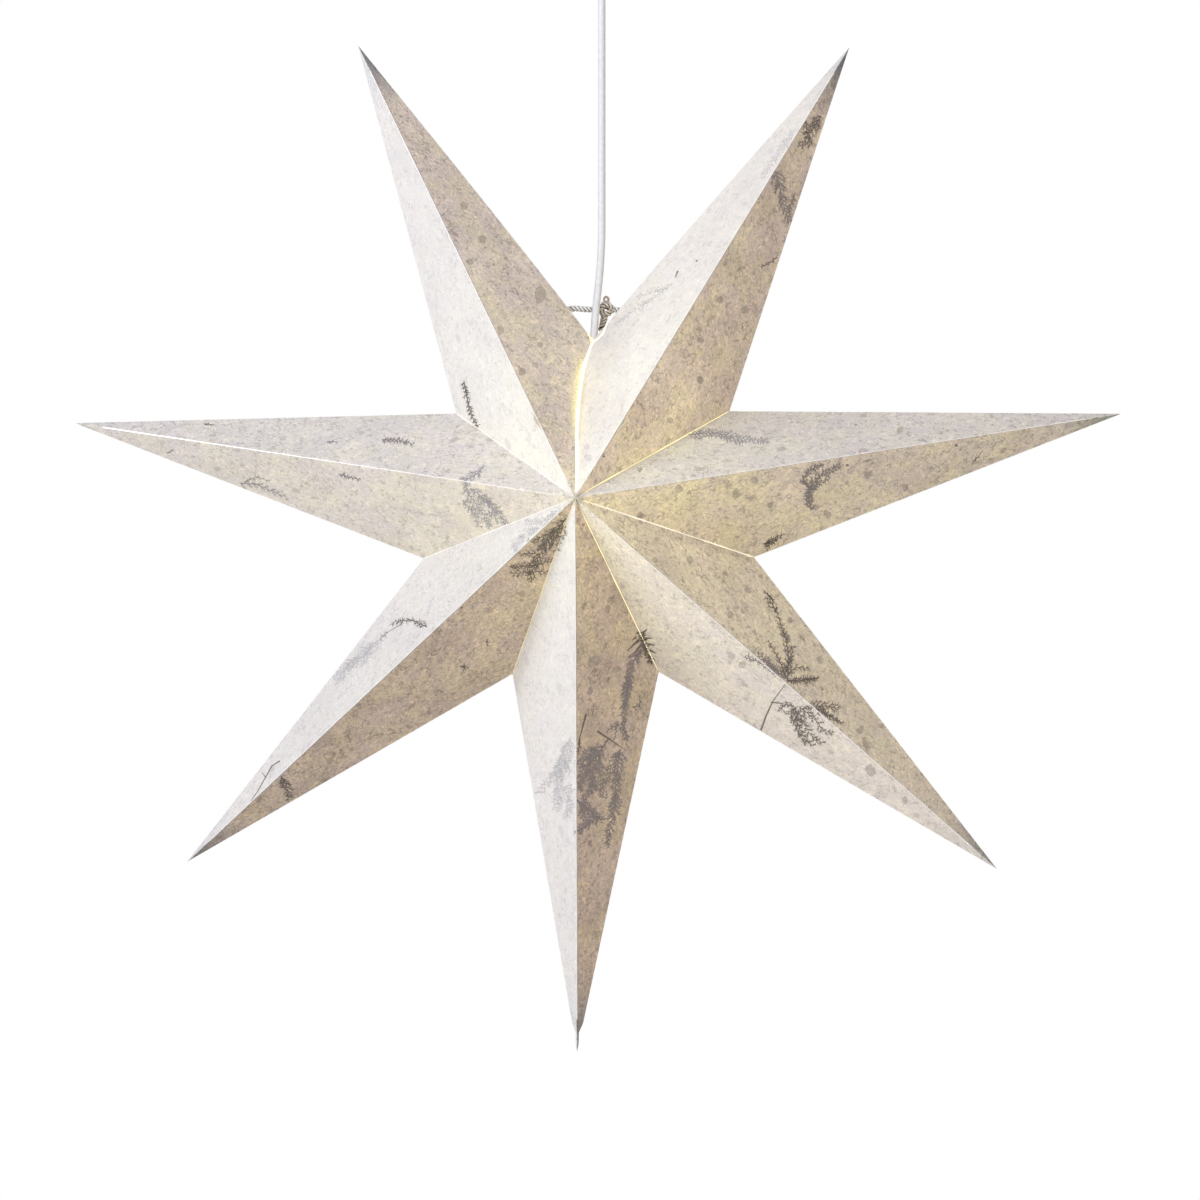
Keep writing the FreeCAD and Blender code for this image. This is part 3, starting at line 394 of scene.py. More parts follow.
def pulp(tree, light, dark, rich):
    """The paper's tone, its marks as a share of the light, and its relief."""
    where = places(tree)
    warp = node(tree, "TexNoise", {"Vector": where, "Scale": 170.0, "Detail": 2.0})
    bent = node(tree, "VectorMath", {0: warp.outputs["Color"], "Scale": 0.006}, operation="SCALE")
    bent = node(tree, "VectorMath", {0: where, 1: bent.outputs[0]}, operation="ADD").outputs[0]
    wide = maths(tree, "MULTIPLY", grain(tree, 26.0, 3.0, 0.6, where), 0.3)
    cloud = maths(tree, "MULTIPLY_ADD", grain(tree, 420.0, 4.0, 0.8, where), 0.7, wide)
    tone = blended(tree, ranged(tree, cloud, 0.40, 0.60, 0.0, 1.0), dark, light)
    hues = ranged(tree, grain(tree, 34.0, 4.0, 0.7, bent), 0.42, 0.58, 0.0, 1.0)
    tone = blended(tree, rich, tone, multiplied(tree, tone, blended(tree, hues, MAUVE, OCHRE)))
    marks = UNMARKED

    # Fibres lie where a noise passes through its middle value, in broken lengths
    relief = grain(tree, 900.0, 2.0, 0.5, where)
    for scale, shift, thin, strength, broken_at, colour in (
        # fibres to the metre, shift, thickness, strength, where they break off, colour
        (120.0, 0.0, 0.045, 0.60, 0.46, PALE_FIBRE),
        (190.0, 9.4, 0.050, 0.60, 0.48, PALE_FIBRE),
        (260.0, 4.2, 0.055, 0.55, 0.46, PALE_FIBRE),
        (120.0, 3.1, 0.026, 0.75, 0.52, DARK_FIBRE),
        (170.0, 7.7, 0.032, 0.70, 0.51, DARK_FIBRE),
        (230.0, 5.3, 0.040, 0.60, 0.49, DARK_FIBRE),
    ):
        moved = node(tree, "VectorMath", {0: where, 1: (shift, 0.0, 0.0)}, operation="ADD")
        across = grain(tree, scale, 1.0, 0.5, moved.outputs[0])
        off = maths(tree, "ABSOLUTE", maths(tree, "SUBTRACT", across, 0.5), 0.0)
        hair = ranged(tree, off, 0.0, thin, strength, 0.0)
        moved = node(tree, "VectorMath", {0: bent, 1: (shift, 0.0, 0.0)}, operation="ADD")
        broken = grain(tree, scale * 0.8, 1.0, 0.5, moved.outputs[0])
        broken = ranged(tree, broken, broken_at, broken_at + 0.06, 0.0, 1.0)
        hair = maths(tree, "MULTIPLY", hair, broken)
        marks = blended(tree, hair, marks, colour)
        relief = maths(tree, "ADD", relief, hair)

    # Spots of pulp, each with its own size, and flecks
    for scale, small, large, share, strength, colour in (
        # spots to the metre, least and greatest size, share left out, strength, colour
        (52.0, 0.05, 0.24, 0.50, 0.75, (0.64, 0.60, 0.60)),
        (84.0, 0.06, 0.26, 0.50, 0.70, (0.66, 0.62, 0.61)),
        (150.0, 0.08, 0.30, 0.40, 0.65, (0.68, 0.65, 0.63)),
        (92.0, 0.03, 0.08, 0.50, 0.95, FLECK),
    ):
        cell = node(tree, "TexVoronoi", {"Vector": bent, "Scale": scale})
        draw = node(tree, "SeparateColor", {"Color": cell.outputs["Color"]})
        size = ranged(tree, draw.outputs[0], share, 1.0, small, large)
        edge = maths(tree, "SUBTRACT", cell.outputs["Distance"], size)
        spot = ranged(tree, edge, -0.06, 0.02, strength, 0.0)
        kept = ranged(tree, draw.outputs[1], share, share + 0.05, 0.0, 1.0)
        marks = blended(tree, maths(tree, "MULTIPLY", spot, kept), marks, colour)
    return tone, marks, relief


def paper_material(name, light, dark, through, faint, rich, tip=PALE_TIP_SHADE):
    """Marks show less, by the share faint, in the light that the sheet throws back. Towards the tip
    of each point the colour is multiplied by the tip colour: painted shade, for the little light that
    gets into the narrow ends."""
    material, tree = new_material(name)
    tone, marks, relief = pulp(tree, light, dark, rich)
    reach = node(
        tree, "VectorMath", {0: places(tree), 1: STAR_CENTRE}, operation="DISTANCE"
    ).outputs["Value"]
    # Painted shade: darker towards each tip
    far = ranged(tree, reach, 0.85 * STAR_RADIUS, STAR_RADIUS, 0.0, 1.0)
    tone = multiplied(tree, tone, blended(tree, far, UNMARKED, tip))
    uneven = bumps(tree, relief, 0.3, 0.0005)
    inputs = {
        "Base Color": multiplied(tree, tone, blended(tree, faint, marks, UNMARKED)),
        "Roughness": ranged(tree, relief, 0.3, 1.2, 0.72, 0.9),
        "Specular IOR Level": 0.25,
        "Normal": uneven,
    }
    front = node(tree, "BsdfPrincipled", inputs)
    thick = multiplied(tree, tone, blended(tree, faint * 0.7, marks, UNMARKED))
    warm = multiplied(tree, thick, LAMP_WARMTH)
    back = node(tree, "BsdfTranslucent", {"Color": warm, "Normal": uneven})
    finish_with(
        tree, node(tree, "MixShader", {"Fac": through, 1: front.outputs[0], 2: back.outputs[0]})
    )
    return material


paper = paper_material("handmade_paper", PAPER_LIGHT, PAPER_DARK, 0.36, 0.7, 0.25)
lining = paper_material("paper_lining", PAPER_LIGHT, PAPER_DARK, 0.9, 0.6, 0.3)
# The copies below are painted light and shade: the same paper made lighter, darker, warmer or cooler
# for single facets, by how light falls on each, with more or fewer marks
greyish = paper_material("greyish_paper", (0.91, 0.88, 0.84), (0.82, 0.78, 0.735), 0.36, 0.3, 0.7)
cool = paper_material("cool_paper", (0.84, 0.82, 0.815), (0.775, 0.755, 0.76), 0.36, 0.2, 0.6)
soft_white = paper_material(
    "soft_white_paper", (0.84, 0.825, 0.815), (0.79, 0.77, 0.755), 0.36, 0.6, 0.25
)
warm_pale = paper_material("warm_pale_paper", (0.95, 0.91, 0.865), (0.88, 0.84, 0.79), 0.38, 0.3, 0.5)
tan = paper_material("tan_paper", (0.89, 0.83, 0.79), (0.73, 0.66, 0.62), 0.45, 0.0, 1.0, DARK_TIP_SHADE)
olive_tan = paper_material(
    "olive_tan_paper", (0.89, 0.845, 0.775), (0.745, 0.69, 0.625), 0.45, 0.0, 0.5, GREY_TIP_SHADE
)
grey_tan = paper_material(
    "grey_tan_paper", (0.89, 0.85, 0.83), (0.76, 0.71, 0.69), 0.42, 0.0, 1.0, DARK_TIP_SHADE
)
light_tan = paper_material(
    "light_tan_paper", (0.92, 0.87, 0.80), (0.80, 0.74, 0.66), 0.41, 0.0, 1.0, GREY_TIP_SHADE
)
dark_tan = paper_material(
    "dark_tan_paper", (0.87, 0.80, 0.75), (0.68, 0.61, 0.56), 0.56, 0.0, 1.0, GREY_TIP_SHADE
)

# Star points
# Seven points, each one sheet folded into four flat facets with crisp creases. Narrow glue
# flaps along the valleys join each point to the next. The seam at the top is left open.

HALF_DEPTH = 0.1
FACET_LIGHT_AND_SHADE = {
    # point and side of its crease, with the copy of the paper that paints light or shade on that
    # facet; the other facets are of the white paper
    (0, -1): tan,
    (1, 1): cool,
    (1, -1): light_tan,
    (2, 1): olive_tan,
    (2, -1): warm_pale,
    (3, 1): dark_tan,
    (4, 1): dark_tan,
    (4, -1): soft_white,
    (5, 1): greyish,
    (5, -1): cool,
    (6, -1): grey_tan,
}
FLANK = 0.0744  # half the width of a point, across the star's centre
SEAM_VALLEY = 0.127  # from the centre to the notch at the seam
SEAM_LEAN = math.radians(1.6)  # turns the whole star
SPREADS = [math.radians(turn) for turn in (55.6, 50.6, 51.4, 49.8, 48.0, 51.1, 53.5)]
SEAM_GAP = 0.0001
SEAM_BOW = 0.005
MOUTH = 0.0048  # how far each free edge stands aside at the mouth
MOUTH_STARTS = 0.952
CENTRE_HOLE = 0.0006
SHEET = 0.0005
CREASE = 0.0007  # width of the rounding on each side
CREASE_SINK = 0.32 * CREASE
FOLD_ANGLE = math.radians(50)
FLAP = 0.007
UNDULATION = 0.0006
SWELLS_TO_THE_METRE = 14.0
SWELL_EASE = 0.014
FACET_WIDTH = 0.075  # across a facet at its notch
STUB = 0.006
LONG_STUB = 0.019
STUB_EASE = 0.003
STUB_HALF_WIDTH = 0.0011
END_HALF_WIDTH = 0.0007
END_LENGTH = 0.002
NO_WIDTH = 0.0002
MOST_WIDENING = 1.6
FLAP_SPAN, FLAP_STEPS = (0.12, 0.92), 14
FLAP_END_WIDTH = 0.002
FACE_ROWS = [
    0.0, 0.006, 0.02, 0.05, 0.09, 0.13, 0.18, 0.23, 0.28, 0.33, 0.38, 0.43, 0.48, 0.53, 0.58,
    0.63, 0.68, 0.73, 0.78, 0.82, 0.86, 0.89, 0.92, 0.94, 0.955, 0.97, 0.98, 0.99, 0.996, 1.0,
]
CROSS_ROWS = [
    0.012, 0.03, 0.055, 0.09, 0.13, 0.18, 0.24, 0.31, 0.38, 0.46, 0.54, 0.62, 0.7, 0.78, 0.86,
    0.93, 0.97, 1.0,
]
BOTTOM_POINT = 3
leaning = Matrix.Rotation(SEAM_LEAN, 3, "Y")
seam_flank = STAR_RADIUS * SEAM_VALLEY * math.sin(SPREADS[0] / 2)
seam_flank /= STAR_RADIUS - SEAM_VALLEY * math.cos(SPREADS[0] / 2)


def smooth(value):
    value = max(0.0, min(1.0, value))
    return value * value * (3 - 2 * value)


def even_shares(start, end, steps):
    """Shares of the way along a line, from one share to another in even steps."""
    return [start + (end - start) * step / steps for step in range(steps + 1)]


def seam_bow(up):
    """How far the free edges at the seam lean over to the left, from the centre to the mouth."""
    return SEAM_BOW * smooth(up / 0.5) * smooth((1.0 - up) / 0.28)


class Facet:
    """One flat facet, between its crease, its outer edge and its valley."""

    def __init__(self, number, side, face):
        angle = math.pi / 2 - SPREADS[0] / 2 - sum(SPREADS[1 : number + 1])
        self.face = face
        self.axis = Vector((math.cos(angle), 0.0, math.sin(angle)))
        across = Vector((-self.axis.z, 0.0, self.axis.x)) * side
        valley = number if side > 0 else (number + 1) % len(SPREADS)
        half = SPREADS[valley] / 2
        flank = seam_flank if valley == 0 else FLANK
        self.seam = valley == 0
        self.out = self.axis * math.cos(half) + across * math.sin(half)
        reach = 1.0 / (math.cos(half) / STAR_RADIUS + math.sin(half) / flank)
        self.apex = Vector((0.0, face * HALF_DEPTH, 0.0))
        self.tip = self.axis * STAR_RADIUS
        self.notch = self.out * reach
        self.along = self.axis.dot(self.notch)
        self.normal = (self.tip - self.apex).cross(self.notch - self.apex).normalized()
        if self.normal.dot(self.apex) < 0:
            self.normal.negate()
        line = self.notch - self.apex
        self.from_seam = line.cross(self.normal).normalized()
        self.from_seam /= self.from_seam.x
        self.stub = LONG_STUB if number == BOTTOM_POINT else STUB

    def flat(self, up, over):
        """The place that far up from the centre and over from the crease, before any bending."""
        start = CENTRE_HOLE / ((1 - over) * STAR_RADIUS + over * self.along)
        up = start + (1 - start) * up
        place = self.apex + up * (self.tip.lerp(self.notch, over) - self.apex)
        if self.seam:
            side = math.copysign(1.0, self.axis.x)
            shift = side * SEAM_GAP - seam_bow(up)
            shift += side * MOUTH * max(0.0, (up - MOUTH_STARTS) / (1 - MOUTH_STARTS))
            place += self.from_seam * shift * over**3
        return place

    def place(self, up, over):
        """The same place on the finished sheet, in the star's own frame."""
        flat = self.flat(up, over)
        room = min(over, 1 - over) * up * FLANK
        room = min(room, (1 - up) * HALF_DEPTH, up * HALF_DEPTH)
        swell = noise.noise(flat * SWELLS_TO_THE_METRE)
        swell += 0.35 * noise.noise(flat * 3 * SWELLS_TO_THE_METRE)
        flat = flat + self.normal * (UNDULATION * swell * smooth(room / SWELL_EASE))

        # Near its tip a point is pinched together to a thin end
        from_tip = STAR_RADIUS - flat.dot(self.axis)
        if from_tip < self.stub:
            centre = self.axis * flat.dot(self.axis)
            natural = FLANK * from_tip / STAR_RADIUS
            pinched = min(natural, STUB_HALF_WIDTH)
            if from_tip <= END_LENGTH:
                pinched = max(natural, END_HALF_WIDTH)
            ease = smooth((self.stub - from_tip) / STUB_EASE)
            keep = 1 + ease * (pinched / max(natural, NO_WIDTH) - 1)
            flat = centre + (flat - centre) * min(keep, MOST_WIDENING)
        return flat


def in_place(place):
    """From the star's own frame to the room's."""
    return STAR_CENTRE + leaning @ place


def turn_outward(face, outward):
    face.normal_update()
    if face.normal.dot(outward) < 0:
        face.normal_flip()


def skin(mesh, rows, outward, look=0):
    """Quads between rows of corners, facing outward, and triangles where corners are shared.
    The look is the number of the piece's material."""
    for low, high in zip(rows, rows[1:]):
        for i in range(len(low) - 1):
            corners = []
            for corner in (low[i], low[i + 1], high[i + 1], high[i]):
                if corner not in corners:
                    corners.append(corner)
            if len(corners) > 2:
                quad = mesh.faces.new(corners)
                quad.material_index = look
                turn_outward(quad, outward)


def facet_grid(mesh, facet, made, look):
    """Lays one facet as a sheet of quads, which rounds over a little at the crease."""
    rows = []
    for up in FACE_ROWS:
        # Two rows of corners keep beside the crease, at an even width where there is room
        wide = max(up, 0.03) * FACET_WIDTH
        crease = [0.0, min(CREASE / wide, 0.08), min(2.2 * CREASE / wide, 0.16)]
        over_rows = crease + [crease[-1] + (1 - crease[-1]) * over for over in CROSS_ROWS]
        row = []
        for i, over in enumerate(over_rows):
            place = facet.place(up, over)
            if i == 0 and up < 1.0:
                place -= Vector((0.0, facet.face, 0.0)) * CREASE_SINK
            key = tuple(round(value, 6) for value in place)
            if key not in made:
                made[key] = mesh.verts.new(in_place(place))
            row.append(made[key])
        rows.append(row)
    skin(mesh, rows, leaning @ facet.normal, look)


def glue_flap(mesh, facet):
    """The flap that runs inside along the valley, back to back with the next point's flap."""
    inward = Vector((0.0, -facet.face, 0.0)) * facet.notch.length - facet.out * HALF_DEPTH
    inward.normalize()
    away = facet.axis - facet.out * facet.axis.dot(facet.out)
    away = away.normalized() * SHEET * 0.3
    rows = []
    for step, up in enumerate(even_shares(*FLAP_SPAN, FLAP_STEPS)):
        start = facet.apex.lerp(facet.notch, up) + away + inward * SHEET * 1.5
        narrowing = smooth(step / 2) * smooth((FLAP_STEPS - step) / 2)
        end = start + inward * (FLAP_END_WIDTH + (FLAP - FLAP_END_WIDTH) * narrowing)
        rows.append([mesh.verts.new(in_place(start)), mesh.verts.new(in_place(end))])
    skin(mesh, rows, leaning @ -away)


points = []
for number in range(len(SPREADS)):
    mesh = bmesh.new()
    made = {}
    sheets = [lining]
    for side in (1, -1):
        sheet = FACET_LIGHT_AND_SHADE.get((number, side), paper)
        if sheet not in sheets:
            sheets.append(sheet)
        for face in (-1, 1):
            facet = Facet(number, side, face)
            facet_grid(mesh, facet, made, sheets.index(sheet))
            if not facet.seam:
                glue_flap(mesh, facet)
    for edge in mesh.edges:
        folded = len(edge.link_faces) == 2 and edge.calc_face_angle() > FOLD_ANGLE
        if folded or edge.is_boundary:
            edge.smooth = False
    point = new_piece(f"paper_point_{number + 1}", mesh, sheets[0], "star")
    for sheet in sheets[1:]:
        point.data.materials.append(sheet)
    thicken(point, SHEET)
    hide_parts(f"star_point_{number + 1}")
    points.append(point)

# Seam strips
# Two strips of the same paper, pasted inside along the open seam. They stiffen its free
# edges, and run from near the centre to just under the mouth.

STRIP = 0.013
STRIP_SPAN, STRIP_STEPS = (0.14, 0.92), 16
for name, number, side in (("right", 0, 1), ("left", 6, -1)):
    mesh = bmesh.new()
    for face in (-1, 1):
        facet = Facet(number, side, face)
        rows = []
        for up in even_shares(*STRIP_SPAN, STRIP_STEPS):
            wide = up * FACET_WIDTH
            row = []
            for inner in even_shares(0.0, 1.0, 4):
                place = facet.flat(up, 1.0 - inner * STRIP / wide) - facet.normal * SHEET * 1.3
                row.append(mesh.verts.new(in_place(place)))
            rows.append(row)
        skin(mesh, rows, leaning @ facet.normal)
    strip = new_piece(f"seam_lining_{name}", mesh, lining, "star")
    thicken(strip, SHEET * 0.9)
    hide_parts(f"seam_strip_{name}")

# Creases and lit edges
# The lamp shows as a fine bright line where two glued flaps meet, and along the free edges of
# the seam. Each sharp outer crease carries a thin painted highlight, the left one a broader one that
# widens toward its tip, and lines of painted shade run beside the other creases and beside two
# valleys.

HAIRLINE = 0.0001
LINE_STEPS = 40
VALLEY_SPAN, VALLEY_LIFT, VALLEY_FADE = (0.012, 0.992), 0.00013, 6
SEAM_EDGE_SPAN = (0.03, 0.995)
SEAM_LIGHT_SPAN, SEAM_LIGHT_LIFT = (0.03, 0.96), 0.00005
GLOW_SPAN, GLOW_STEPS, GLOW_LIFT = (0.22, 0.96), 32, 0.00014
GLOW_WIDTH = 0.0042
RIBBON_STEPS = 6
GLOW_ROWS = [
    # share of the way across the strip, share of the light
    (0.0, 1.0),
    (0.2, 0.62),
    (0.42, 0.32),
    (0.68, 0.12),
    (1.0, 0.0),
]
CREASE_SPAN, CREASE_STEPS, CREASE_LIFT = (0.015, 0.94), 60, 0.0001
HIGHLIGHT_FADE, SHADE_FADE = 7, 9
LEFT_POINT = 5


def lit_edge(name, colour, glow):
    material, tree = new_material(name)
    patches = ranged(tree, grain(tree, 60.0, 3.0), 0.3, 0.7, 0.75, 1.1)
    fine = grain(tree, 900.0, 2.0)
    inputs = {
        "Base Color": blended(tree, fine, colour, PAPER_LIGHT),
        "Roughness": ranged(tree, fine, 0.3, 0.7, 0.7, 0.9),
        "Normal": bumps(tree, fine, 0.3, 0.0003),
        "Emission Color": (*colour, 1.0),
        "Emission Strength": maths(tree, "MULTIPLY", patches, glow),
    }
    finish_with(tree, node(tree, "BsdfPrincipled", inputs))
    return material


def covering(tree, cover, shader):
    """Covers what lies behind by that share, and lets the rest of it through."""
    clear = node(tree, "BsdfTransparent")
    return node(tree, "MixShader", {"Fac": cover, 1: clear.outputs[0], 2: shader.outputs[0]})


def glow_finish(name, colour, cover):
    """Light inside the sheet, too soft to have an edge: its cover fades out over the strip."""
    material, tree = new_material(name)
    fine = ranged(tree, grain(tree, 700.0, 3.0), 0.35, 0.65, 0.85, 1.15)
    inputs = {
        "Base Color": (*colour, 1.0),
        "Roughness": 0.9,
        "Emission Color": (*colour, 1.0),
        "Emission Strength": maths(tree, "MULTIPLY", fine, 0.45),
    }
    near = node(tree, "Attribute", attribute_name="nearness").outputs["Fac"]
    thin = maths(tree, "MULTIPLY", maths(tree, "MULTIPLY", near, fine), cover)
    finish_with(tree, covering(tree, thin, node(tree, "BsdfPrincipled", inputs)))
    return material


def fold_line(name, rows, finish, shares=None):
    """A strip along a fold: lit paper, a painted highlight or a line of painted shade. Each row goes
    across it, and the shares say how strong a glow is at each row."""
    mesh = bmesh.new()
    nearness = mesh.verts.layers.float.new("nearness")
    rows = [[mesh.verts.new(in_place(place)) for place in row] for row in rows]
    if shares:
        for row, share in zip(rows, shares):
            for corner, (_, part) in zip(row, GLOW_ROWS):
                corner[nearness] = part * share
    # The front of the star is at negative y, and the back at positive y
    skin(mesh, rows, Vector((0.0, rows[-1][0].co.y, 0.0)))
    piece = new_piece(name, mesh, finish, "star")


def away_from(line, facet):
    """The direction across the facet, away from that line along one of its sides."""
    across = line.cross(facet.normal).normalized()
    middle = (facet.tip + facet.notch - 2 * facet.apex) / 3
    return across if across.dot(middle) > 0 else -across


yellow_edge = lit_edge("lit_paper_edge", (0.86, 0.72, 0.28), 0.45)
pale_edge = lit_edge("pale_paper_edge", (0.90, 0.86, 0.74), 0.25)
bright_edge = lit_edge("bright_paper_edge", (1.0, 0.96, 0.76), 0.5)
seam_edge = lit_edge("seam_paper_edge", (1.0, 0.95, 0.76), 0.7)
# Painted highlights along the outer creases, with a faint glow; the left crease has a broader,
# brighter one
crease_highlight = lit_edge("crease_highlight", (0.95, 0.93, 0.90), 0.04)
left_crease_highlight = lit_edge("left_crease_highlight", (0.97, 0.95, 0.92), 0.14)
# Painted shade: a dark line beside most outer creases and beside some valleys
fold_shade = moulded("fold_shade", (0.42, 0.37, 0.33), (0.56, 0.51, 0.47), 0.85, 1100, 0.2)
VALLEYS = [
    # after which point, half width, finish, width of the line of painted shade on each side
    (0, 0.0010, yellow_edge, 0.0004),
    (1, 0.0006, bright_edge, 0.0),
    (2, 0.0008, yellow_edge, 0.0004),
    (3, 0.0004, yellow_edge, 0.0),
    (4, 0.0005, pale_edge, 0.0),
    (5, 0.0005, pale_edge, 0.0),
]
BOTH_FACES = ((-1, "front"), (1, "back"))


def beside_valley(facet, middle, reach):
    """The place just above the facet, that far to the side of its valley."""
    sideways = away_from(facet.notch - facet.apex, facet)
    return middle + sideways * reach + facet.normal * VALLEY_LIFT


for number, half_width, finish, shade_width in VALLEYS:
    for face, where in BOTH_FACES:
        here = Facet(number, -1, face)
        beside = Facet(number + 1, 1, face)
        rows, shade_rows = [], ([], [])
        for step, along in enumerate(even_shares(*VALLEY_SPAN, LINE_STEPS)):
            middle = here.apex.lerp(here.notch, along)
            width = half_width * (0.85 + 0.5 * noise.noise(middle * 60.0))
            width *= smooth((step + 1) / VALLEY_FADE)
            sides = ((here, width), (here, 0.0), (beside, width))
            rows.append([beside_valley(facet, middle, reach) for facet, reach in sides])
            for part, facet in zip(shade_rows, (here, beside)):
                part.append([beside_valley(facet, middle, reach) for reach in (width, width + shade_width)])
        fold_line(f"lit_valley_{number + 1}_{where}", rows, finish)
        # Lines of painted shade beside the valley
        if shade_width:
            for part, side in zip(shade_rows, ("before", "after")):
                fold_line(f"dull_valley_{number + 1}_{side}_{where}", part, fold_shade)

for number, side, widening in ((0, 1, 0.0003), (6, -1, 0.0)):
    for face, where in BOTH_FACES:
        facet = Facet(number, side, face)
        rows = []
        for up in even_shares(*SEAM_EDGE_SPAN, LINE_STEPS):
            lit = 2 * HAIRLINE + widening * smooth((0.6 - up) / 0.3)
            lit *= smooth((up - 0.02) / 0.1)
            rows.append([
                facet.place(up, 1.0 - inner / (up * FACET_WIDTH)) + facet.normal * VALLEY_LIFT
                for inner in (0.0, lit)
            ])
        fold_line(f"seam_edge_{number + 1}_{where}", rows, seam_edge)


def on_sheet(facet, x, y):
    """Where the line of sight through a pixel meets the sheet, in the star's own frame."""
    origin = leaning.inverted() @ (eye - STAR_CENTRE)
    toward = leaning.inverted() @ sight(x, y)
    way = (facet.tip - origin).dot(facet.normal) / toward.dot(facet.normal)
    return origin + toward * way


def ribbon(name, facet, stops, lift, finish):
    """A strip along pixels, each with its own width, that stands a little off the sheet."""
    rows = []
    for before, stop in zip(stops, stops[1:]):
        for share in even_shares(0.0, 1.0, RIBBON_STEPS)[:-1]:
            x, y, wide = (a + (b - a) * share for a, b in zip(before, stop))
            along = Vector((stop[0] - before[0], stop[1] - before[1])).normalized()
            rows.append([
                on_sheet(facet, x + along.y * wide * side, y - along.x * wide * side)
                + facet.normal * (lift if side else lift * 2)
                for side in (-0.5, 0.0, 0.5)
            ])
    fold_line(name, rows, finish)


for face, where in BOTH_FACES:
    rows = []
    for up in even_shares(*SEAM_LIGHT_SPAN, LINE_STEPS):
        rows.append([
            sheet.place(up, 1.0 - HAIRLINE / (up * FACET_WIDTH)) + sheet.normal * SEAM_LIGHT_LIFT
            for sheet in (Facet(6, -1, face), Facet(0, 1, face))
        ])
    fold_line(f"seam_light_{where}", rows, seam_edge)

# At the mouth the right-hand sheet's free corner curls outward, and its edge is lit. Beside
# it the inside of the left-hand sheet shows in lamp light.
CURLED_RIM = [
    # pixel across and down, width
    (613, 316, 0.5),
    (609.5, 320, 0.9),
    (606.8, 324.5, 1.2),
    (605, 329.5, 1.5),
    (603, 334, 1.6),
    (598.8, 338.5, 1.3),
    (594.4, 342, 1.1),
    (592.4, 346.5, 0.8),
]
LIT_MOUTH = [
    (588.4, 333.5, 0.8),
    (590.2, 337.5, 1.4),
    (592.4, 339.8, 5.0),
    (592.2, 342.5, 3.4),
    (591.4, 345.5, 1.4),
]
mouth_edge = lit_edge("mouth_paper_edge", (1.0, 0.96, 0.84), 0.3)
ribbon("curled_rim", Facet(0, 1, -1), CURLED_RIM, 0.0003, mouth_edge)
ribbon("lit_mouth", Facet(6, -1, -1), LIT_MOUTH, 0.0002, yellow_edge)

# Beside the seam the left-hand sheet glows for a few millimetres
seam_glow = glow_finish("seam_glow", (1.0, 0.92, 0.52), 0.75)
for face, where in BOTH_FACES:
    facet = Facet(6, -1, face)
    rows, shares = [], []
    for up in even_shares(*GLOW_SPAN, GLOW_STEPS):
        shares.append(smooth((up - 0.2) / 0.35) * smooth((0.94 - up) / 0.24))
        rows.append([
            facet.place(up, 1.0 - (HAIRLINE + GLOW_WIDTH * across) / (up * FACET_WIDTH))
            + facet.normal * GLOW_LIFT
            for across, _ in GLOW_ROWS
        ])
    fold_line(f"seam_glow_{where}", rows, seam_glow, shares)

CREASES = [
    # point, half width of the painted highlight, side of a line of painted shade beside it, width of
    # that shade
    (0, 0.0002, -1, 0.0007),
    (1, 0.0001, -1, 0.0004),
    (2, 0.0002, 1, 0.0006),
    (3, 0.0001, 1, 0.0011),
    (4, 0.0001, 1, 0.0011),
    (LEFT_POINT, 0.0008, 1, 0.0),
    (6, 0.0002, -1, 0.0007),
]


def beside_crease(facet, crest, reach):
    """The place just above the facet, that far to the side of its crease."""
    sideways = away_from(facet.tip - facet.apex, facet)
    return crest + sideways * reach + facet.normal * CREASE_LIFT


for number, highlight_width, side, shade_width in CREASES:
    for face, where in BOTH_FACES:
        shaded = Facet(number, side, face)
        bright = Facet(number, -side, face)
        highlight_rows, shade_rows = [], []
        for step, along in enumerate(even_shares(*CREASE_SPAN, CREASE_STEPS)):
            crest = shaded.apex.lerp(shaded.tip, along)
            if number == LEFT_POINT:
                reach = highlight_width * (0.07 + 0.93 * along**2) * smooth((step + 1) / HIGHLIGHT_FADE)
                shaded_reach = reach
            else:
                reach = highlight_width * (0.8 + 0.4 * noise.noise(crest * 50.0))
                reach *= smooth((step + 1) / HIGHLIGHT_FADE)
                shaded_reach = min(reach, HAIRLINE)
            shade_reach = shade_width * smooth((step + 1) / SHADE_FADE)
            # The painted highlight along the crease
            highlight_rows.append([
                beside_crease(bright, crest, reach),
                beside_crease(bright, crest, 0.0),
                beside_crease(shaded, crest, shaded_reach),
            ])
            shade_rows.append([
                beside_crease(shaded, crest, reach) for reach in (HAIRLINE, HAIRLINE + shade_reach)
            ])
        finish = left_crease_highlight if number == LEFT_POINT else crease_highlight
        fold_line(f"crease_highlight_{number + 1}_{where}", highlight_rows, finish)
        # A line of painted shade beside the crease
        if shade_width:
            fold_line(f"fold_shade_{number + 1}_{where}", shade_rows, fold_shade)

# Pressed plants
# Sprigs that lay in the wet pulp, and round flakes of darker pulp. They are part of the paper:
# they lie flat in each sheet and end at its folds. The places are read from the picture.

PLANT_LIFT = 0.00018
SAME_SHEET = 0.9  # least cosine between the normals at two places on one sheet
STROKE_STEP = 2.5
FLAKE_CORNERS = 14
corners, polygons, white = [], [], []
for point in points:
    first = len(corners)
    corners += [vertex.co.copy() for vertex in point.data.vertices]
    looks = [material == paper for material in point.data.materials]
    for polygon in point.data.polygons:
        polygons.append([first + i for i in polygon.vertices])
        white.append(looks[polygon.material_index])
paper_surface = BVHTree.FromPolygons(corners, polygons)


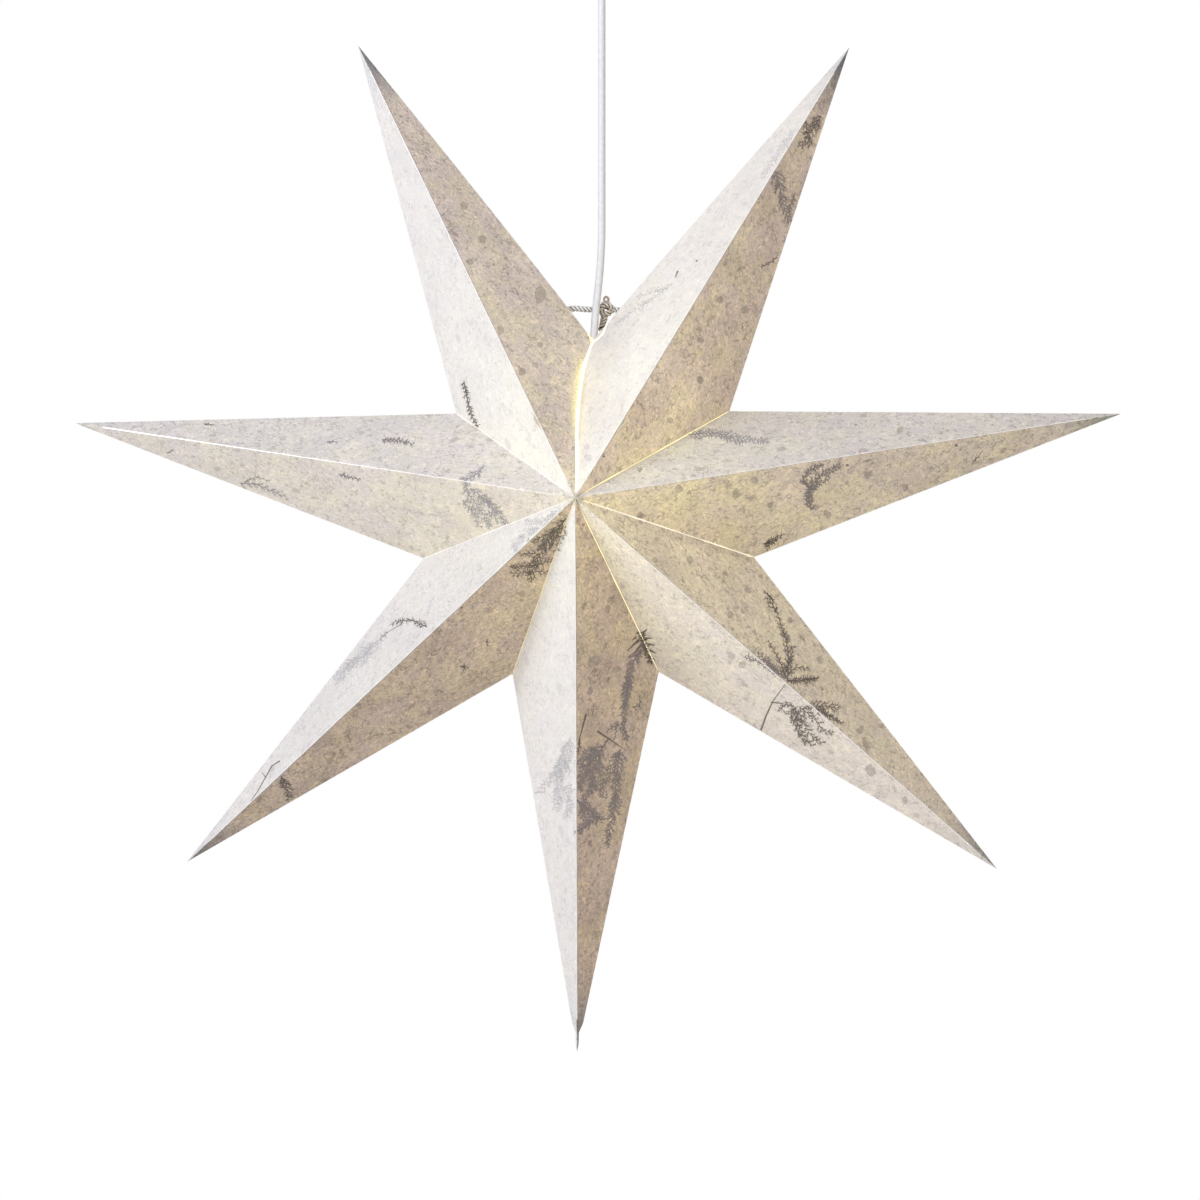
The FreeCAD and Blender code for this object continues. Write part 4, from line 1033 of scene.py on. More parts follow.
def on_paper(x, y, face):
    """The place just above the sheet in the line of sight of a pixel, and the sheet's normal.
    Plants on the back are placed by a camera that stands opposite."""
    toward, start = sight(x, y), eye
    if face > 0:
        toward, start = (Vector((line.x, -line.y, line.z)) for line in (toward, eye))
    place, normal, _, _ = paper_surface.ray_cast(start, toward)
    if place is None:
        return None
    if normal.dot(toward) > 0:
        normal = -normal
    return place + normal * PLANT_LIFT, normal


def stroke(mesh, line, width, face, blunt=0.25):
    """A leaf, needle or stem along a line of pixels, narrowing to its end."""
    before = None
    pieces = []
    for a, b in zip(line, line[1:]):
        parts = max(1, round(math.dist(a, b) / STROKE_STEP))
        for part in range(parts):
            share = part / parts
            pieces.append((a[0] + (b[0] - a[0]) * share, a[1] + (b[1] - a[1]) * share))
    line = pieces + [line[-1]]
    for i, (x, y) in enumerate(line):
        back, ahead = line[max(i - 1, 0)], line[min(i + 1, len(line) - 1)]
        dx, dy = ahead[0] - back[0], ahead[1] - back[1]
        long = math.hypot(dx, dy) or 1.0
        half = width / 2 * (1 - (1 - blunt) * i / (len(line) - 1))
        pair = [on_paper(x - way * dy / long * half, y + way * dx / long * half, face)
                for way in (1, -1)]
        if None in pair or pair[0][1].dot(pair[1][1]) < SAME_SHEET:
            before = None
            continue
        here = [mesh.verts.new(place) for place, _ in pair]
        if before and before[1].dot(pair[0][1]) > SAME_SHEET:
            leaf = mesh.faces.new((before[0][0], before[0][1], here[1], here[0]))
            turn_outward(leaf, pair[0][1])
        before = (here, pair[0][1])


def bent_line(x, y, angle, long, bend, steps):
    """Pixels along a short stem that bends as it grows."""
    line = [(x, y)]
    for _ in range(steps):
        x += math.cos(angle) * long / steps
        y += math.sin(angle) * long / steps
        angle += bend / steps
        line.append((x, y))
    return line


def along_line(line, share):
    """The pixel at that share of the line's length, and the line's direction there."""
    spans = [math.dist(a, b) for a, b in zip(line, line[1:])]
    left = share * sum(spans)
    for (a, b), span in zip(zip(line, line[1:]), spans):
        if left <= span or (a, b) == (line[-2], line[-1]):
            part = left / span
            x, y = a[0] + (b[0] - a[0]) * part, a[1] + (b[1] - a[1]) * part
            return x, y, math.atan2(b[1] - a[1], b[0] - a[0])
        left -= span


def sprig(mesh, face, draw, line, reach, needle, gap, width=1.3, leaf=0.8):
    """A stem with a twig every so often, longest low down, each set with needles or leaves."""
    stroke(mesh, line, width, face)
    long = sum(math.dist(a, b) for a, b in zip(line, line[1:]))
    way, travelled = 1, gap * draw.random()
    while reach and travelled < long:
        share = travelled / long
        x, y, heading = along_line(line, share)
        twig_long = reach * (1.05 - 0.55 * share) * draw.uniform(0.6, 1.15)
        lean = way * math.radians(draw.uniform(28, 62))
        twig = bent_line(x, y, heading + lean, twig_long, -lean * 0.5, 3)
        stroke(mesh, twig, width * 0.6, face)
        grown = 1.0
        while grown < twig_long + 0.5:
            nx, ny, turn = along_line(twig, min(grown / twig_long, 1.0))
            for side in (-1, 1):
                angle = turn + side * math.radians(draw.uniform(20, 60))
                tuft = bent_line(nx, ny, angle, needle * draw.uniform(0.5, 1.15), 0.2 * side, 1)
                middle = ((tuft[0][0] + tuft[1][0]) / 2, (tuft[0][1] + tuft[1][1]) / 2)
                stroke(mesh, [tuft[0], middle, tuft[1]], leaf, face, 0.15)
            grown += draw.uniform(1.2, 2.2)
        way = -way
        travelled += gap * draw.uniform(0.6, 1.25)


def flake(meshes, face, draw, x, y, wide, high):
    """A round flake of darker pulp with an uneven edge. It is drawn fainter on the white sheets,
    which are the lit facets: painted light.
    """
    turn = draw.uniform(0, math.pi)
    rim = []
    for i in range(FLAKE_CORNERS):
        angle = math.tau * i / FLAKE_CORNERS
        uneven = draw.uniform(0.82, 1.12) / 2
        across, down = math.cos(angle) * wide * uneven, math.sin(angle) * high * uneven
        found = on_paper(
            x + across * math.cos(turn) - down * math.sin(turn),
            y + across * math.sin(turn) + down * math.cos(turn),
            face,
        )
        if found:
            rim.append(found)
    flat = all(normal.dot(rim[0][1]) > SAME_SHEET for _, normal in rim)
    if flat and len(rim) == FLAKE_CORNERS:
        sheet = paper_surface.find_nearest(rim[0][0])[2]
        mesh = meshes[1] if white[sheet] else meshes[0]
        spot = mesh.faces.new([mesh.verts.new(place) for place, _ in rim])
        turn_outward(spot, rim[0][1])


def pressed(name, colour, shade, cover):
    """Plant matter in the sheet: patchy, and partly covered by pulp."""
    material, tree = new_material(name)
    fine = grain(tree, 1300.0, 3.0)
    patches = ranged(tree, fine, 0.35, 0.65, 0.0, 1.0)
    inputs = {
        "Base Color": blended(tree, patches, colour, shade),
        "Roughness": ranged(tree, fine, 0.3, 0.7, 0.7, 0.9),
        "Specular IOR Level": 0.2,
        "Normal": bumps(tree, fine, 0.25),
    }
    pulp_over = ranged(tree, grain(tree, 260.0, 3.0), 0.35, 0.65, cover * 0.7, cover)
    finish_with(tree, covering(tree, pulp_over, node(tree, "BsdfPrincipled", inputs)))
    return material


dark_leaf = pressed("dark_leaf", (0.115, 0.095, 0.085), (0.22, 0.19, 0.175), 0.95)
grey_leaf = pressed("grey_leaf", (0.24, 0.21, 0.215), (0.36, 0.32, 0.325), 0.8)
pale_leaf = pressed("pale_leaf", (0.36, 0.34, 0.37), (0.46, 0.44, 0.47), 0.62)
ghost_leaf = pressed("ghost_leaf", (0.53, 0.52, 0.53), (0.63, 0.62, 0.63), 0.34)
pulp_flake = pressed("pulp_flake", (0.38, 0.33, 0.32), (0.46, 0.41, 0.40), 0.42)
# A paler copy of the flake for the lit white facets: painted light
lit_flake = pressed("lit_flake", (0.56, 0.55, 0.59), (0.64, 0.62, 0.66), 0.26)


def bare(line, width):
    """A stem or a leaf without twigs."""
    return line, 0, 0, 1, width


# Each sprig is its stem in pixels, the reach of its twigs, the length of its needles and the
# gap between twigs, with the width of its stem and its leaves
FRONT_PLANTS = {
    "sprig_lower_right": (dark_leaf, [
        bare([(761, 730), (766, 716), (773, 701), (787, 682)], 2.0),
        ([(787, 684), (788, 668), (788, 653), (786, 640), (781, 625), (776, 611)],
         8, 3.8, 2.8, 1.4, 0.55),
        ([(776, 612), (772, 604), (768, 598)], 6, 4, 2.4, 1.4, 0.8),
        ([(773, 600), (764, 591)], 2, 3, 3, 1.8),
        ([(786, 677), (779, 660), (768, 640)], 5, 3.4, 3.0, 1.1, 0.55),
        ([(788, 674), (796, 667), (809, 669)], 5, 3.4, 2.8, 1.1, 0.6),
        ([(788, 681), (803, 680), (816, 679)], 5, 3.6, 2.0, 1.6, 0.9),
        ([(806, 680), (818, 678)], 2, 2.6, 2.0, 2.4, 0.9),
        ([(786, 672), (791, 656), (794, 645)], 4, 3.4, 2.6, 1.0, 0.7),
    ]),
    "fan_lower_right": (dark_leaf, [
        bare([(771, 702), (786, 704), (794, 707), (806, 706)], 1.1),
        ([(794, 706), (786, 704), (779, 709)], 4, 2.6, 2.4, 1.0, 0.9),
        ([(796, 708), (791, 715), (784, 712)], 4, 2.6, 2.4, 1.0, 0.9),
        ([(796, 707), (795, 716), (800, 729), (806, 741), (814, 746)], 7, 2.8, 2.8, 1.0, 0.9),
        ([(798, 710), (803, 722), (811, 735), (823, 743)], 7, 2.8, 2.8, 1.0, 0.9),
        ([(800, 707), (810, 715), (819, 723), (822, 731), (832, 733)], 6, 2.8, 2.8, 1.0, 0.9),
        ([(791, 716), (797, 729), (802, 740)], 5, 2.6, 2.6, 1.0, 0.9),
    ]),
    "tuft_lower_right": (dark_leaf, [
        ([(806, 706), (822, 706), (838, 708)], 8, 3.2, 2.2, 1.1, 0.75),
        ([(818, 709), (829, 716), (842, 723)], 4, 3, 1.8, 1.4, 1.1),
    ]),
    "grey_sprig_lower_right": (grey_leaf, [
        ([(785, 679), (773, 669), (763, 663), (745, 657)], 5, 3.4, 1.9, 1.4, 0.8),
        ([(776, 671), (766, 660), (758, 655)], 6, 3.4, 2.0, 1.2, 0.8),
        ([(778, 676), (768, 664)], 5, 3, 2.2, 1.2, 0.8),
    ]),
    "fern_bottom": (grey_leaf, [
        ([(641, 649), (632, 664), (629, 678), (625, 696), (624, 719), (622, 726), (626, 739)],
         7, 3.4, 2.2, 1.8, 1.2),
        ([(631, 672), (627, 690), (626, 706)], 8, 3.4, 2.4, 1.6, 1.1),
        ([(632, 707), (640, 706), (639, 696)], 4, 2.6, 2.6, 1.2, 0.9),
        ([(618, 721), (614, 740)], 3, 2.4, 3, 1.0, 0.8),
        ([(626, 730), (627, 747)], 3, 2.4, 3, 1.0, 0.8),
        ([(619, 724), (608, 730)], 4, 2.8, 2.4, 1.2, 0.9),
        ([(620, 749), (617, 770), (615, 787), (616, 796), (614, 811), (610, 828), (607, 843)],
         9, 3.6, 2.3, 1.6, 1.1),
        ([(620, 752), (611, 766), (607, 782)], 7, 3.4, 2.4, 1.2, 1.0),
        ([(617, 790), (612, 812)], 6, 3.2, 2.6, 1.2, 1.0),
    ]),
    "foliage_bottom": (grey_leaf, [
        ([(603, 746), (596, 758), (590, 775), (593, 790)], 10, 3.8, 2.0, 1.6, 1.2),
        ([(600, 750), (588, 756), (579, 764)], 9, 3.8, 2.1, 1.4, 1.1),
        ([(598, 760), (603, 774), (602, 790)], 7, 3.6, 2.3, 1.2, 1.0),
        ([(590, 762), (582, 776), (580, 790)], 8, 3.8, 2.1, 1.4, 1.1),
        ([(596, 776), (590, 790), (582, 800)], 7, 3.8, 2.3, 1.2, 1.1),
        ([(606, 799), (598, 791)], 6, 3, 2.2, 1.2, 1.0),
        ([(578, 801), (590, 810), (602, 820)], 9, 3.8, 1.9, 1.4, 1.2),
        ([(600, 818), (588, 822), (578, 832)], 8, 3.6, 1.9, 1.4, 1.2),
        ([(580, 806), (584, 818)], 6, 3.4, 2.0, 1.2, 1.2),
    ]),
    "dark_twigs_bottom": (dark_leaf, [
        bare([(597, 731), (612, 741), (627, 751)], 2.0),
        ([(608, 739), (602, 748)], 2, 2, 3, 1.6),
        bare([(577, 800), (593, 813)], 1.6),
        bare([(586, 714), (582, 729), (578, 744)], 2.2),
        ([(580, 738), (578, 752)], 3, 3, 2, 1.2),
    ]),
    "leaf_fan_bottom": (dark_leaf, [
        bare([(639, 640), (633, 645), (627, 651)], 3),
        bare([(641, 645), (635, 652), (628, 657)], 2.6),
        bare([(641, 651), (636, 657)], 2.4),
        bare([(636, 637), (632, 640)], 2.4),
        bare([(641, 638), (643, 633), (647, 629)], 3.2),
        bare([(642, 643), (647, 638), (652, 638)], 3.2),
        bare([(643, 647), (648, 644), (655, 645)], 3.2),
        bare([(645, 651), (650, 650), (656, 653)], 3.2),
        bare([(647, 656), (651, 656), (655, 660)], 2.8),
        bare([(638, 628), (640, 634)], 3.0),
        ([(639, 630), (644, 644), (650, 662)], 5, 3.4, 2.0, 1.8, 1.6),
    ]),
    "ghost_bottom": (ghost_leaf, [
        ([(571, 738), (566, 756), (560, 776), (556, 800)], 12, 4, 2.2, 1.2, 1.4),
        ([(568, 760), (552, 778), (540, 792)], 9, 3.6, 2.4, 1.2, 1.3),
        ([(572, 784), (564, 800), (556, 810)], 9, 3.6, 2.4, 1.2, 1.3),
        ([(573, 800), (566, 818)], 6, 3.4, 2.4, 1.2, 1.3),
    ]),
    "sprig_upper_left": (dark_leaf, [
        ([(464, 381), (467, 397), (471, 414), (478, 427)], 4, 3.2, 2.2, 1.2, 0.9),
    ]),
    "frond_left": (pale_leaf, [
        ([(484, 466), (478, 473), (465, 481), (467, 492), (476, 504), (485, 516), (491, 527)],
         7, 3.4, 2.4, 1.6, 0.9),
        ([(478, 495), (496, 510), (508, 524)], 7, 3.4, 2.4, 1.2, 0.9),
        ([(470, 488), (486, 499), (500, 513)], 7, 3.4, 2.4, 1.2, 0.9),
        ([(463, 500), (474, 514), (480, 527)], 6, 3.2, 2.8, 1.0, 0.8),
        ([(472, 506), (482, 520)], 6, 3.2, 2.8, 1.0, 0.8),
        ([(488, 510), (500, 522)], 6, 3.2, 2.4, 1.2, 0.9),
    ]),
    "bits_left": (grey_leaf, [
        ([(382, 440), (398, 440), (413, 444)], 4, 2.8, 2.2, 1.2, 1.2),
        ([(327, 442), (337, 442)], 3, 2.4, 3),
        ([(339, 474), (349, 477), (359, 479)], 3, 2.6, 2.4, 1.2, 1.2),
        ([(167, 453), (174, 450)], 2, 2, 3),
    ]),
    "dark_bit_left": (dark_leaf, [
        ([(204, 424), (213, 425)], 1.5, 1.5, 3),
    ]),
    "sprig_left": (grey_leaf, [
        ([(240, 483), (256, 484), (270, 490), (286, 497)], 6, 2.8, 3.6, 0.9, 0.55),
        ([(244, 482), (256, 477), (270, 481)], 4, 2.4, 3.4, 0.8, 0.55),
    ]),
    "frond_lower_left": (dark_leaf, [
        ([(566, 518), (557, 530), (545, 545), (536, 562), (529, 580)], 12, 3.8, 2.7, 1.5, 0.85),
        ([(566, 526), (560, 538), (555, 552)], 6, 3.6, 3.2, 1.0, 0.7),
        ([(556, 530), (542, 537), (531, 542)], 7, 3.6, 2.8, 1.2, 0.7),
        ([(536, 553), (519, 554)], 5, 3.4, 2.4, 1.2, 0.7),
        ([(536, 565), (511, 567)], 5, 3.4, 2.2, 1.2, 0.75),
        ([(533, 571), (513, 574)], 5, 3.4, 2.6, 1.0, 0.7),
        ([(539, 564), (552, 560)], 5, 3.2, 2.6, 1.0, 0.7),
        ([(536, 571), (549, 572)], 5, 3.2, 2.6, 1.0, 0.7),
    ]),
    "ghost_lower_left": (ghost_leaf, [
        ([(557, 511), (548, 521), (526, 522)], 7, 3.2, 2.2, 1.2, 1.2),
        ([(540, 528), (524, 534), (513, 550)], 7, 3.2, 2.2, 1.2, 1.2),
    ]),
    "sprig_far_left": (dark_leaf, [
        ([(427, 627), (411, 620), (394, 622)], 5, 3, 2.4, 1.2, 0.8),
    ]),
    "stem_far_left": (grey_leaf, [
        bare([(402, 624), (388, 632), (374, 644)], 1.0),
        ([(388, 632), (380, 640)], 3, 2.4, 3.4, 0.8, 0.6),
        ([(464, 663), (464, 671)], 3, 2.4, 2.4),
    ]),
    "ghost_far_left": (ghost_leaf, [
        ([(376, 642), (358, 655), (337, 684)], 7, 3.2, 2.0, 1.2, 1.2),
        ([(384, 640), (368, 652), (352, 662)], 6, 3, 2.2, 1.2, 1.2),
        ([(372, 652), (360, 664), (348, 668)], 6, 3, 2.2, 1.2, 1.2),
        ([(352, 660), (342, 668), (334, 678)], 5, 3, 2.2, 1.2, 1.2),
    ]),
    "dark_fan_far_left": (dark_leaf, [
        ([(281, 776), (286, 784), (289, 796)], 8, 3.2, 2.0, 1.2, 0.9),
        ([(284, 778), (281, 788)], 4, 2.6, 2.4, 1.0, 0.8),
    ]),
    "thin_stem_far_left": (dark_leaf, [
        bare([(280, 761), (272, 766), (258, 791), (243, 813)], 1.2),
        bare([(266, 778), (262, 772)], 1.0),
        ([(487, 639), (487, 646)], 2, 2, 3),
        ([(460, 666), (468, 667)], 2, 2, 2.4),
    ]),
    "sprig_right": (pale_leaf, [
        ([(688, 435), (708, 433), (727, 435), (748, 440), (767, 441)], 7, 3.2, 2.2, 1.2, 0.9),
        ([(719, 434), (732, 441), (742, 442)], 5, 2.8, 2.4, 1.0, 0.9),
    ]),
    "fork_right": (grey_leaf, [
        ([(811, 510), (809, 499), (809, 487), (803, 479), (810, 470), (822, 464)],
         5, 3.6, 1.9, 1.8, 1.3),
        ([(809, 488), (820, 476), (839, 466)], 6, 3.6, 1.9, 1.6, 1.3),
        ([(808, 492), (818, 484), (830, 478)], 4, 3, 2.4, 1.2, 1.0),
    ]),
    "bits_right": (dark_leaf, [
        ([(763, 544), (772, 541), (780, 537)], 5, 3.2, 1.8, 1.2, 1.0),
        ([(770, 542), (766, 549)], 4, 2.8, 2.0),
        ([(973, 461), (978, 457), (982, 451)], 1.5, 1.5, 3, 1.0),
        bare([(955, 445), (958, 446)], 2.6),
        bare([(846, 465), (849, 465)], 2.4),
    ]),
    "frond_upper_right": (dark_leaf, [
        ([(821, 116), (812, 130), (801, 146)], 9, 3.8, 2.7, 1.2, 0.65),
        ([(806, 121), (807, 134), (810, 146)], 7, 3.4, 2.8, 1.1, 0.65),
    ]),
    "second_frond_upper_right": (grey_leaf, [
        ([(775, 170), (780, 190), (784, 207), (789, 221)], 11, 3.6, 2.3, 1.4, 0.8),
        ([(795, 193), (789, 210)], 5, 3.2, 2.4, 1.2, 0.9),
        ([(777, 257), (771, 262), (762, 266)], 3, 2.6, 2.4, 1.2),
    ]),
    "ghost_upper_right": (ghost_leaf, [
        ([(795, 130), (786, 141), (777, 155), (769, 167), (763, 178)], 6, 3.2, 2.6, 1.0, 0.8),
        ([(672, 284), (655, 297), (640, 307), (614, 325)], 5, 3.0, 3.4, 1.2, 0.8),
        ([(668, 288), (652, 291), (638, 298)], 5, 3.0, 2.6, 1.0, 0.9),
    ]),
    "dark_bits_upper_right": (dark_leaf, [
        bare([(678, 271), (675, 278)], 1.8),
        bare([(696, 261), (698, 261)], 2.2),
        bare([(603, 456), (605, 457)], 2.2),
        bare([(822, 689), (822, 691)], 2.0),
    ]),
}
FRONT_FLAKES = [
    # pixel across and down, width and height
    (593.7, 661, 11, 15), (616.5, 670, 7, 9), (742, 664.5, 9, 7), (870.5, 770.6, 13, 10),
    (747.8, 590, 7, 7), (464, 206, 9, 7), (482, 239, 9, 8), (540, 295, 19, 12), (347, 733, 9, 7),
    (679, 489, 8, 9), (754, 480, 9, 7), (736, 494, 9, 9), (827, 514, 9, 7), (905, 487, 8, 7),
    (588.5, 458, 7, 8), (587, 447, 5, 6), (720, 300, 8, 7), (700, 340, 7, 6), (640, 470, 5, 5),
    (690, 560, 9, 7), (730, 615, 7, 7), (655, 560, 6, 7), (610, 600, 7, 7), (598, 905, 7, 6),
    (500, 330, 9, 7), (522, 372, 7, 8), (470, 262, 7, 6), (425, 130, 7, 6), (540, 345, 6, 6),
    (440, 660, 8, 7), (400, 700, 8, 6), (490, 610, 7, 7), (330, 760, 7, 6), (860, 730, 9, 7),
    (905, 800, 8, 6), (690, 430, 7, 7), (900, 430, 8, 6), (640, 515, 8, 6), (770, 505, 6, 6),
    (745, 310, 8, 9), (700, 380, 8, 7), (670, 420, 6, 6), (790, 620, 6, 6), (820, 660, 8, 7),
]


def lay_plants(face, plants):
    for name, (finish, sprigs) in plants.items():
        draw = random.Random(name)
        mesh = bmesh.new()
        for parts in sprigs:
            sprig(mesh, face, draw, *parts)
        plant = new_piece(name, mesh, finish, "star", smoothed=False)


def lay_flakes(where, face, seed, spots):
    draw = random.Random(seed)
    meshes = (bmesh.new(), bmesh.new())
    for spot in spots:
        flake(meshes, face, draw, *spot)
    for mesh, look, finish in zip(meshes, ("dark", "pale"), (pulp_flake, lit_flake)):
        flakes = new_piece(f"{look}_flakes_{where}", mesh, finish, "star", smoothed=False)


lay_plants(-1, FRONT_PLANTS)
lay_flakes("front", -1, 71, FRONT_FLAKES)

# The back can't be seen in the picture, so its plants are spread as a handmade sheet has them
BACK_PLANTS = {
    "sprig_back_left": (dark_leaf, [
        ([(760, 560), (740, 590), (712, 612), (690, 618)], 9, 3.4, 3, 1.4),
        ([(740, 590), (732, 612), (735, 628)], 6, 3, 3),
    ]),
    "fern_back_bottom": (grey_leaf, [
        ([(600, 640), (606, 680), (600, 720), (603, 770)], 11, 3.4, 3, 1.4),
        ([(560, 700), (556, 740), (561, 790)], 7, 3, 3.4),
    ]),
    "frond_back_right": (dark_leaf, [
        ([(420, 440), (440, 452), (470, 458), (500, 470)], 10, 3.2, 2.8, 1.4),
        ([(300, 455), (330, 466), (352, 464)], 6, 3, 3),
    ]),
    "sprig_back_top": (grey_leaf, [
        ([(470, 200), (480, 240), (500, 280), (505, 320)], 9, 3.2, 3, 1.3),
        ([(760, 230), (735, 260), (720, 300)], 8, 3, 3, 1.3),
        ([(880, 430), (840, 440), (800, 452)], 7, 3, 3, 1.2),
    ]),
    "ghost_back": (pale_leaf, [
        ([(430, 640), (400, 670), (380, 700)], 7, 3, 3.4),
        ([(650, 200), (690, 240), (680, 290)], 6, 3, 3.4),
    ]),
}
lay_plants(1, BACK_PLANTS)

BACK_ACROSS, BACK_DOWN = (120, 1080), (80, 1000)
FLAKE_WIDTHS, FLAKE_HEIGHTS = (5, 13), (5, 11)
scatter = random.Random(72)
lay_flakes("back", 1, 73, [
    [scatter.uniform(*span) for span in (BACK_ACROSS, BACK_DOWN, FLAKE_WIDTHS, FLAKE_HEIGHTS)]
    for _ in range(110)
])

# Tie
# Twine ties the two end points together across the open mouth. It goes through both points,
# ends inside each in a stop knot, and is knotted beside the cord with its ends left rough.

TWINE_DEPTH = 0.0085
STRAND = 0.0012
STRAND_SIDES = 9
TWINE_STEP = 0.0004
LAY_PITCH = 0.0088
OPENED_STEPS = 12
FUZZ_HALF_WIDTH = 0.00006
END_INSET = 0.0002
TWINE_MIDDLE = 0.0017
# Routes in pixels across and down, with a depth where it differs
LEFT_RUN = [(572, 307.5), (586, 309.5), (602, 310)]
RIGHT_RUN = [(609, 309), (616, 309.5)]
KNOT_RUNS = [
    # thickness as a share of the twine's, whether its end is loose, route
    (0.7, False, [
        (599, 311, 0.0100), (601, 305, 0.0080), (607, 302, 0.0078), (611, 306, 0.0090),
        (610, 313, 0.0110), (603, 317, 0.0105), (601, 312, 0.0090), (605, 305, 0.0100),
        (609, 309, 0.0085),
    ]),
    (1.0, False, [
        (599.5, 311.5, 0.0075), (602, 305.8, 0.0054), (607, 304.4, 0.0050),
        (611, 306.5, 0.0058), (612.5, 311, 0.0080),
    ]),
    (0.95, False, [
        (612.5, 309.5, 0.0082), (609.5, 313.6, 0.0056), (605, 313.8, 0.0052),
        (601, 311.5, 0.0062), (599.5, 308.5, 0.0085),
    ]),
    (0.42, False, [
        (606, 305, 0.0078), (603.5, 300, 0.0072), (605, 296.6, 0.0072), (608.5, 297.5, 0.0080),
        (608.5, 302, 0.0085), (606, 306, 0.0085),
    ]),
    (0.85, True, [
        (606, 314, 0.0072), (605.2, 319.5, 0.0058), (603.6, 324, 0.0056), (602, 329, 0.0062),
    ]),
    (0.6, True, [(603, 314, 0.0095), (601.5, 322, 0.0090), (600, 331, 0.0085)]),
]


def at_depth(x, y, depth=TWINE_DEPTH):
    """Where the line of sight through a pixel passes the plane at that depth."""
    toward = sight(x, y)
    return eye + toward * ((depth - eye.y) / toward.y)


def smooth_line(route):
    """Places at even steps along a smooth line that follows the route."""
    draft = bpy.data.curves.new("route", "CURVE")
    draft.dimensions = "3D"
    draft.resolution_u = 24
    spline = draft.splines.new("NURBS")
    spline.points.add(len(route) - 1)
    for point, place in zip(spline.points, route):
        point.co = (*place, 1.0)
    spline.order_u = 3
    spline.use_endpoint_u = True
    holder = bpy.data.objects.new("route", draft)
    read = bpy.data.meshes.new_from_object(holder)
    fine_places = [vertex.co.copy() for vertex in read.vertices]
    bpy.data.objects.remove(holder)
    bpy.data.meshes.remove(read)
    even, left = [fine_places[0]], TWINE_STEP
    for a, b in zip(fine_places, fine_places[1:]):
        while (b - a).length > left:
            a = a + (b - a).normalized() * left
            even.append(a)
            left = TWINE_STEP
        left -= (b - a).length
    return even


def twisted(mesh, route, thin=1.0, loose_end=False):
    """Three strands of twine laid together. A loose end opens out."""
    lay = mesh.verts.layers.float.get("lay") or mesh.verts.layers.float.new("lay")
    line = smooth_line(route)
    across = (line[1] - line[0]).orthogonal().normalized()
    frames = []
    for i, place in enumerate(line):
        onward = (line[min(i + 1, len(line) - 1)] - line[max(i - 1, 0)]).normalized()
        across = (across - onward * across.dot(onward)).normalized()
        frames.append((place, across.copy(), onward.cross(across)))
    for strand in range(3):
        rings = []
        for i, (place, side, up) in enumerate(frames):
            turn = math.tau * (i * TWINE_STEP / (LAY_PITCH * thin) + strand / 3)
            open_out = 1.0
            if loose_end:
                open_out += 0.9 * smooth(1 - (len(frames) - i) / OPENED_STEPS)
            reach = STRAND * 0.9 * thin * open_out
            middle = place + (side * math.cos(turn) + up * math.sin(turn)) * reach
            round_by = STRAND * thin * (1 + 0.25 * noise.noise(middle * 1500.0))
            if i in (0, len(frames) - 1):
                round_by *= 0.45
            ring = []
            for corner in range(STRAND_SIDES):
                angle = math.tau * corner / STRAND_SIDES
                outward = side * math.cos(angle) + up * math.sin(angle)
                ring.append(mesh.verts.new(middle + outward * round_by))
                ring[-1][lay] = 0.5 + 0.5 * math.cos(angle - turn)
            rings.append(ring)
        join_rings(mesh, rings)
        mesh.faces.new(list(reversed(rings[0])))
        mesh.faces.new(rings[-1])
    return line


def any_way(draw):
    return Vector([draw.uniform(-1, 1) for _ in range(3)])


def fuzz(mesh, line, count, draw):
    """Short stiff fibres that stand off the twine."""
    lay = mesh.verts.layers.float["lay"]
    for _ in range(count):
        root = draw.choice(line)
        out = any_way(draw).normalized()
        start = root + out * STRAND
        bend = any_way(draw) * 0.4
        side = out.orthogonal().normalized() * FUZZ_HALF_WIDTH
        middle = start + out * draw.uniform(0.0006, 0.0012)
        end = middle + (out + bend).normalized() * draw.uniform(0.0004, 0.0009)
        low = [mesh.verts.new(start + side), mesh.verts.new(start - side)]
        mid = [mesh.verts.new(middle + side * 0.8), mesh.verts.new(middle - side * 0.8)]
        tip = mesh.verts.new(end)
        for corner in (*low, *mid, tip):
            corner[lay] = 1.0
        mesh.faces.new((low[0], low[1], mid[1], mid[0]))
        mesh.faces.new((mid[0], mid[1], tip))


def twine_finish(name, colour, shade, lay_shade):
    """Plant fibre: its own pale colour where it stands up, darkened by painted shade in the lay
    between the strands.
    """
    material, tree = new_material(name)
    fine = grain(tree, 1700.0, 3.0)
    wide = ranged(tree, grain(tree, 260.0, 2.0), 0.35, 0.65, 0.0, 1.0)
    outer = node(tree, "Attribute", attribute_name="lay").outputs["Fac"]
    tint = blended(tree, wide, colour, shade)
    # Painted shade in the lay between the strands
    tint = blended(tree, ranged(tree, outer, 0.34, 0.74, 1.0, 0.0), tint, lay_shade)
    inputs = {
        "Base Color": multiplied(tree, tint, ranged(tree, fine, 0.3, 0.7, 0.8, 1.1)),
        "Roughness": ranged(tree, fine, 0.3, 0.7, 0.8, 0.95),
        "Normal": bumps(tree, fine, 0.5),
    }
    finish_with(tree, node(tree, "BsdfPrincipled", inputs))
    return material


grey_twine = twine_finish("grey_twine", (0.88, 0.875, 0.87), (0.66, 0.65, 0.64), (0.12, 0.11, 0.11))
